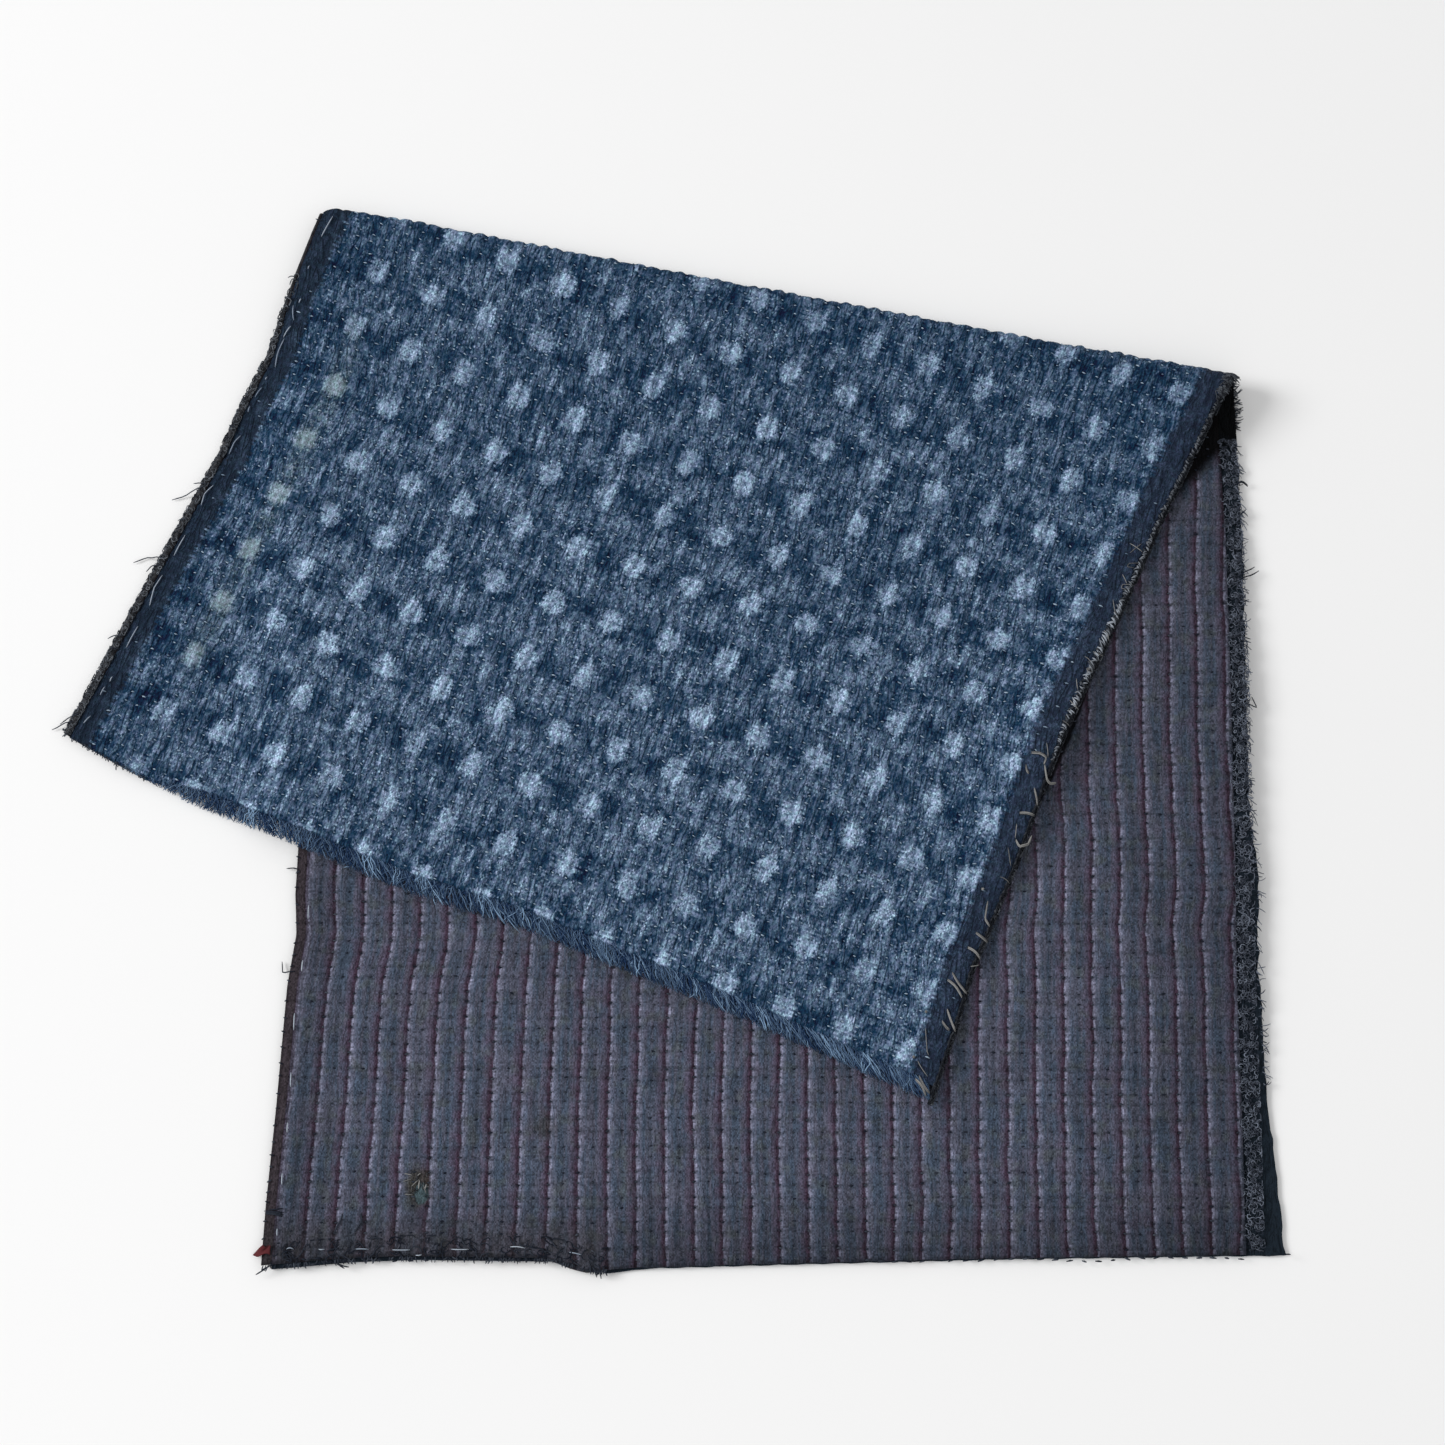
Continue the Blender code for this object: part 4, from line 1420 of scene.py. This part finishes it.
def makeEdgeAndShadowLines():
    # Black strands along the flap's right edge: its dark cut edge, and a painted shadow beside it
    rng = random.Random(38)
    strands = []
    low, high = edgeAndShadowLines["span"]
    for out, offset in edgeAndShadowLines["places"]:
        for start in np.arange(low, high, edgeAndShadowLines["piece"]):
            along = np.linspace(start - 1, min(start + edgeAndShadowLines["piece"] + 1, high), 13)
            stray = np.array([rng.gauss(0, 0.13) for _ in along])
            sway = np.array([rng.gauss(0, 0.2) for _ in along])
            points = layOff(kasuriRight(along) + out + stray, along, offset + sway)
            strands.append((points, edgeAndShadowLines["radius"], 0.0))
    return strands


def featherStrands(table):
    # Fine tips that stand out from an edge
    rng = random.Random(table["seed"])
    strands = []
    for _ in range(table["count"]):
        along = rng.uniform(*table["span"])
        edge = float(edgeLine(table["edge"], along)) + rng.uniform(*table["root"])
        way = 1 if table["edge"] == "right" else -1
        length = rng.uniform(*table["length"])
        slant = rng.gauss(table["slant"], 0.6)
        t = np.linspace(0, 1, 4)
        offset = table["side"] * (table["height"] - 1.1 * t * t)
        across = edge + way * length * t
        points = layOff(across, along + slant * length * t + rng.gauss(0, 0.4) * np.sin(math.pi * t), offset)
        strands.append((points, rng.uniform(*table["radius"]), rng.uniform(*table["tones"])))
    return strands


sideFeathers = {
    "count": 190, "span": (60.0, 305.0), "edge": "right", "root": (-1.4, -0.4), "length": (1.2, 3.4),
    "slant": -0.35, "side": 1, "height": 0.9, "radius": (0.12, 0.2), "tones": (0.0, 1.0), "seed": 33,
}
foldStubs = {
    "count": 170, "span": (311.0, 346.0), "edge": "right", "root": (-2.6, -0.3), "length": (1.0, 3.8),
    "slant": 0.0, "side": -1, "height": 1.4, "radius": (0.16, 0.3), "tones": (0.02, 0.3), "seed": 34,
}


def curlEdge(along):
    return edgeLine("right", along) - cloth["sideFray"] - edgeLine("frayIn", along)


curlYarn = makeYarnMaterial("curlYarn", (0.026, 0.032, 0.047), (0.185, 0.212, 0.270))
rimYarn = makeYarnMaterial("rimYarn", (0.010, 0.012, 0.017), (0.330, 0.365, 0.415))
fringeStrands = curlStrands(sideCurls, curlEdge, clumped) + featherStrands(sideFeathers)
liningSideFringe = strandPiece("liningSideFringe", fringeStrands, curlYarn, "side_yarn_grey")
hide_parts("lining_side_fray")
rimStrands = curlStrands(rimCurls, kasuriRight, everywhere)
rimStrands += curlStrands(leftRimCurls, liningLeft, pastFold)
rimStrands += makeRope() + makeEdgeAndShadowLines() + featherStrands(foldStubs)
flapRim = strandPiece("flapRim", rimStrands, rimYarn, "side_yarn_grey")

print("Sewing along the edges")
# Each path is along, across, along, across and so on, in millimetres
overcast = {
    "side": -1,
    "thick": 0.27,
    "thickPaths": (
        (500.5, 160, 499.8, 163, 500.5, 165.5, 503, 165.5), (505.5, 160, 508, 162),
        (503.5, 166, 507.5, 168.5, 508.5, 170, 507.5, 172), (512.5, 165.8, 517.5, 169),
        (522.5, 164.5, 521.5, 169.5),
        (532, 167, 534, 169, 532, 171.5, 528.5, 171.5), (556.5, 166.5, 562.5, 168, 564.5, 170.5),
        (568.5, 167, 570, 172), (574.5, 166.5, 576.5, 172), (585, 165, 590, 172.5),
        (588, 164.5, 592, 171.5), (598, 168.5, 604, 174), (602.5, 168.5, 604.5, 172),
        (625, 168, 629, 173.5), (623.5, 168.8, 627.8, 174.4),
    ),
    "thin": 0.15,
    "thinPaths": (
        (410.5, 162, 412, 167.5), (416.5, 168, 418, 164.5, 419.5, 164.5, 419, 167), (409, 166, 414, 163.5),
        (425.5, 169, 427, 165.5, 428.5, 165.5, 428, 168.5), (423, 164, 426, 167), (456, 165.5, 456, 169.5),
        (462.5, 168, 463.5, 165.8, 465, 167, 463.5, 168), (477.5, 165, 479.5, 169),
        (459, 163.5, 460.5, 166.5),
        (433.5, 164.5, 439.5, 168), (446.5, 166, 449.5, 169), (468.5, 164, 472.5, 166),
        (486, 165.5, 487, 168.5),
        (495.5, 163.5, 500.5, 166), (526.5, 165, 531.5, 166.5), (535.5, 165.5, 541.5, 169),
        (546.5, 167, 547.5, 171),
        (580.5, 170, 578.5, 172.5), (606.5, 164, 614.5, 168, 615.5, 169), (618.5, 166, 622.5, 171.5),
    ),
    "knot": 0.4,
    "knotPaths": (
        (551.5, 162.5, 553, 164, 554.5, 163), (599.5, 161, 601.5, 163.5, 603.5, 162),
        (617.3, 164, 618.7, 165),
        (462.5, 167, 464.5, 166.5),
    ),
}
tacking = {
    "side": -1,
    "thin": 0.21,
    "thinPaths": (
        (406, -165, 416, -165), (428.9, -163.5, 430.3, -163.3), (442.7, -160, 444.3, -160),
        (446, -161.5, 451.5, -158.5), (454, -158.5, 459, -159), (459.5, -158.5, 465.5, -158, 471, -156.5),
        (475.5, -157.7, 476.7, -157.7), (480, -157.7, 484.5, -158.5), (488.5, -158.7, 491, -158.2),
        (500.5, -156.6, 503.5, -157.5, 509, -157.2), (522.5, -156.7, 527.5, -158, 531.5, -157.2),
        (544.5, -157, 553.5, -157), (562, -157.3, 567.5, -157.6, 574.5, -156), (583.5, -156.1, 592.5, -156.1),
        (604.5, -155.4, 606.5, -155.4), (609, -156.1, 612.5, -156.1), (621, -155.5, 624.5, -156.5),
    ),
}
hemTacking = {
    "side": 1,
    "thin": 0.2,
    "thinPaths": (
        (9.5, -170.4, 12, -170.4), (27, -169.6, 31, -169.6), (45, -168.6, 48.5, -168.6),
        (61, -168.2, 66, -168.2),
        (81, -168, 87, -168), (102, -166.2, 106, -166), (121, -164.8, 126, -164.8), (5, -167, 5, -164.5),
        (5, -156, 5, -154), (5, -144, 5, -139), (4.8, -131, 4.8, -125), (5, -111, 5, -105),
        (5.8, -91, 5.4, -86), (4, -71, 3, -66.5), (3, -123, 3.2, -121),
    ),
}
looseFlap = {
    "side": -1,
    "thin": 0.23,
    "thinPaths": (
        (523.5, -159, 530, -165, 533.5, -168.7), (523, -159, 524.5, -164.2), (538.5, -159, 540.5, -162.2),
        (555.5, -159, 557.5, -166.5, 561.5, -170), (558.5, -159.5, 560, -162.5, 563, -163.6),
        (589, -159.5, 591.8, -164.4), (594, -158, 594.5, -162), (621.5, -159.5, 628, -164.6),
        (625.5, -160, 631, -166.4), (435, -166, 435.7, -169.5), (409, -168, 408.5, -170.7),
        (498.5, -159.5, 498.5, -162.6), (632.5, -138.5, 635.5, -137.5),
    ),
    "knot": 0.35,
    "knotPaths": (
        (421.8, -166.2, 423.2, -165.4), (471.8, -159.2, 473.2, -158.8), (485.8, -162, 487.2, -161.8),
        (510.9, -156.6, 512.3, -156.3), (628.5, -161.5, 631, -162),
    ),
}
looseBase = {
    "side": 1,
    "thin": 0.24,
    "thinPaths": (
        (102, -168.5, 102, -173, 106, -173.5), (139, -169, 140, -173.5), (200, 170, 199.5, 173.5, 203, 171.5),
        (248, 169, 253, 177.5), (249.5, 169, 254.5, 176), (273, 170, 277, 174), (3, 171, 3.4, 173.8),
        (16, -169, 17, -174.5), (17.5, -168.5, 18, -175.2), (19, -169, 18.5, -173.5), (-1, -63, -4.5, -61.5),
        (0, -61, -5, -60), (-1, -59.5, -4, -58), (0, -64, -3.5, -63.5), (-1, -173, -3.5, -177),
        (0, -171, -2, -175),
        (0.5, -150, -1.5, -147), (0, -149, -1, -145.5),
    ),
    "thick": 0.26,
    "thickPaths": (
        (287, 171, 287, 175.5), (17, -148.3, 14, -149, 10.4, -151),
        (17, -142.2, 14.5, -141.8, 11, -144), (16.5, -168.5, 17.5, -174.8),
    ),
}
edgeKnots = {"span": (4.0, 168.0), "pitch": 5.2, "radius": 0.26}


def laidStrand(path, side, radius, tone, bow=0.0):
    # A yarn laid on one side of the cloth, which falls where it passes the edge
    corners = np.array(path, float).reshape(-1, 2)
    lengths = np.concatenate(((0.0,), np.cumsum(np.linalg.norm(np.diff(corners, axis=0), axis=1))))
    t = np.linspace(0, 1, 2 * len(corners) + 2)
    along = np.interp(t * lengths[-1], lengths, corners[:, 0])
    across = np.interp(t * lengths[-1], lengths, corners[:, 1])
    along = along + bow * np.sin(math.pi * t)
    outside = np.maximum(edgeLine("left", along) - across, across - edgeLine("right", along))
    height = cloth["halfStack"] + 0.25 + 0.8 * radius + 0.4 * np.sin(math.pi * t)
    offset = blend(side * height, -0.5 * side, smooth(outside / 4.0))
    return layOff(across, along, offset), radius, tone


def knotStrand(path, side, size, tone):
    # A yarn wound into a small knot at the middle of a path
    middle = np.array(path, float).reshape(-1, 2).mean(axis=0)
    t = np.linspace(0, 1, 14)
    reach = size * (1 - 0.55 * t)
    across = middle[1] + reach * np.cos(15 * t)
    along = middle[0] + reach * np.sin(15 * t)
    return layOff(across, along, side * (cloth["halfStack"] + 0.9 + size * t)), 0.55 * size, tone


def laidStrands(table, seed, tones):
    # A thick thread is two strands side by side
    rng = random.Random(seed)
    strands = []
    for path in table.get("thickPaths", ()):
        bow = rng.gauss(0, 0.4)
        for beside in (-0.2, 0.25):
            strand = [place + beside * (0.3 if number % 2 else 1.0) for number, place in enumerate(path)]
            strands.append(laidStrand(strand, table["side"], table["thick"], rng.uniform(*tones), bow))
    for path in table.get("thinPaths", ()):
        tone, bow = rng.uniform(*tones), rng.gauss(0, 0.25)
        strands.append(laidStrand(path, table["side"], table["thin"], tone, bow))
    for path in table.get("knotPaths", ()):
        strands.append(knotStrand(path, table["side"], table["knot"], rng.uniform(*tones)))
    return strands


def makeEdgeKnots():
    rng = random.Random(41)
    strands = []
    along = edgeKnots["span"][0]
    while along < edgeKnots["span"][1]:
        along += edgeKnots["pitch"] * rng.uniform(0.7, 1.3)
        edge = float(edgeLine("left", along))
        inner, stray, outer = rng.uniform(0.5, 1.3), rng.uniform(-0.9, 0.9), rng.uniform(0.0, 0.4)
        path = (along, edge + inner, along + stray, edge - outer)
        strands.append(laidStrand(path, 1, edgeKnots["radius"], rng.random()))
    return strands


def makeHemFuzz():
    # Short frayed ends along the turned lower edge, and at the flap's neat corner
    rng = random.Random(42)
    strands = []
    for _ in range(150):
        across = rng.uniform(-175, -58)
        end = float(lowerEnd(float(fullShare(across, 0.0))))
        path = (end + 0.8, across, end - rng.uniform(0.2, 1.4), across + rng.gauss(0, 0.8))
        strands.append(laidStrand(path, 1, rng.uniform(0.13, 0.24), rng.random()))
    for _ in range(50):
        across = rng.uniform(-161, -127)
        end = float(flapEnd(float(fullShare(across, 631.5))))
        path = (end - 0.8, across, end + rng.uniform(0.1, 0.9), across + rng.gauss(0.2, 0.5))
        strands.append(laidStrand(path, -1, rng.uniform(0.13, 0.22), rng.random()))
    return strands


wornHole = {"middle": (27.4, -123.4), "count": 16, "reach": (3.4, 4.5)}


def makeWornThreads():
    # Pale broken yarns across and beside the worn hole
    rng = random.Random(43)
    along, across = wornHole["middle"]
    strands = []
    for _ in range(wornHole["count"]):
        x = across + rng.uniform(-1, 1) * wornHole["reach"][0]
        y = along + rng.uniform(-1, 0.8) * wornHole["reach"][1]
        turn = rng.choice((0.0, math.pi / 2)) + rng.gauss(0, 0.35)
        half = rng.uniform(0.8, 2.0)
        toSide, toEnd = half * math.cos(turn), half * math.sin(turn)
        path = (y - toEnd, x - toSide, y + toEnd, x + toSide)
        strands.append(laidStrand(path, 1, rng.uniform(0.14, 0.22), rng.random() ** 1.5))
    return strands


tanThread = makeYarnMaterial("tanThread", (0.026, 0.028, 0.034), (0.310, 0.308, 0.300))
paleThread = makeYarnMaterial("paleThread", (0.150, 0.195, 0.270), (0.450, 0.500, 0.570))
overcastStrands = laidStrands(overcast, 51, (0.25, 0.8))
overcastThreads = strandPiece("overcastThreads", overcastStrands, tanThread, "side_yarn_grey")
tackingStrands = laidStrands(tacking, 52, (0.1, 0.6))
tackingThreads = strandPiece("tackingThreads", tackingStrands, paleThread, "kasuri_indigo")
hemStrands = laidStrands(hemTacking, 53, (0.3, 0.9))
hemThreads = strandPiece("hemThreads", hemStrands, paleThread, "lining_slate")
looseEnds = laidStrands(looseFlap, 54, (0.2, 0.9)) + laidStrands(looseBase, 55, (0.0, 0.5))
looseEnds += curlStrands(hemTangle, lambda along: 0.0, everywhere, hemFoot)
looseEnds += makeEdgeKnots() + makeHemFuzz()
looseThreads = strandPiece("looseThreads", looseEnds, darkThread, "side_yarn_grey")
wornThreads = strandPiece("wornThreads", makeWornThreads(), tanThread, "lining_slate")

print("Scrap of red cloth at the corner")
scrap = {"along": (3.0, 6.2), "across": (-172.4, -178.6), "thickness": 0.0004, "red": (0.125, 0.027, 0.031)}


def makeScrap():
    bm = bmesh.new()
    bmesh.ops.create_grid(bm, x_segments=8, y_segments=7, size=0.5)
    for vert in bm.verts:
        s, t = vert.co.x + 0.5, vert.co.y + 0.5
        along = blend(*scrap["along"], t) + 0.5 * math.sin(7 * s)
        across = blend(scrap["across"][0], blend(scrap["across"][1], scrap["across"][0] - 2.5, t), s)
        outside = float(edgeLine("left", along)) - across
        height = cloth["halfStack"] + 0.7 + 0.4 * math.sin(5 * s + 4 * t)
        vert.co = toFrame(layOff(across, along, blend(height, -0.2, float(smooth(outside / 4)))))
    bmesh.ops.solidify(bm, geom=bm.faces[:], thickness=scrap["thickness"])
    bmesh.ops.recalc_face_normals(bm, faces=bm.faces)
    mesh = meshOf(bm, "redScrap")
    setValues(mesh, "tone", np.full(len(mesh.vertices), 0.5))
    mesh.shade_smooth()
    return mesh


redCotton = makeYarnMaterial("redCotton", tuple(0.45 * part for part in scrap["red"]), scrap["red"])
redScrap = addPiece("redScrap", makeScrap(), redCotton, "lining_slate")

sewnOnKasuri = [kasuriStitches, kasuriEndFringe, overcastThreads, tackingThreads, looseThreads]
sewnOnLining = [liningStitches, liningSideFringe, flapRim, hemThreads, wornThreads, redScrap]
total = 0
for piece in [kasuriCloth, liningCloth] + sewnOnKasuri + sewnOnLining:
    piece.data.calc_loop_triangles()
    total += len(piece.data.loop_triangles)
    print(piece.name, "triangles", len(piece.data.loop_triangles))
print("Triangles in all", total)

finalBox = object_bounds()
{"cad": [list(corner) for corner in cadBox], "visual": [list(corner) for corner in finalBox]}
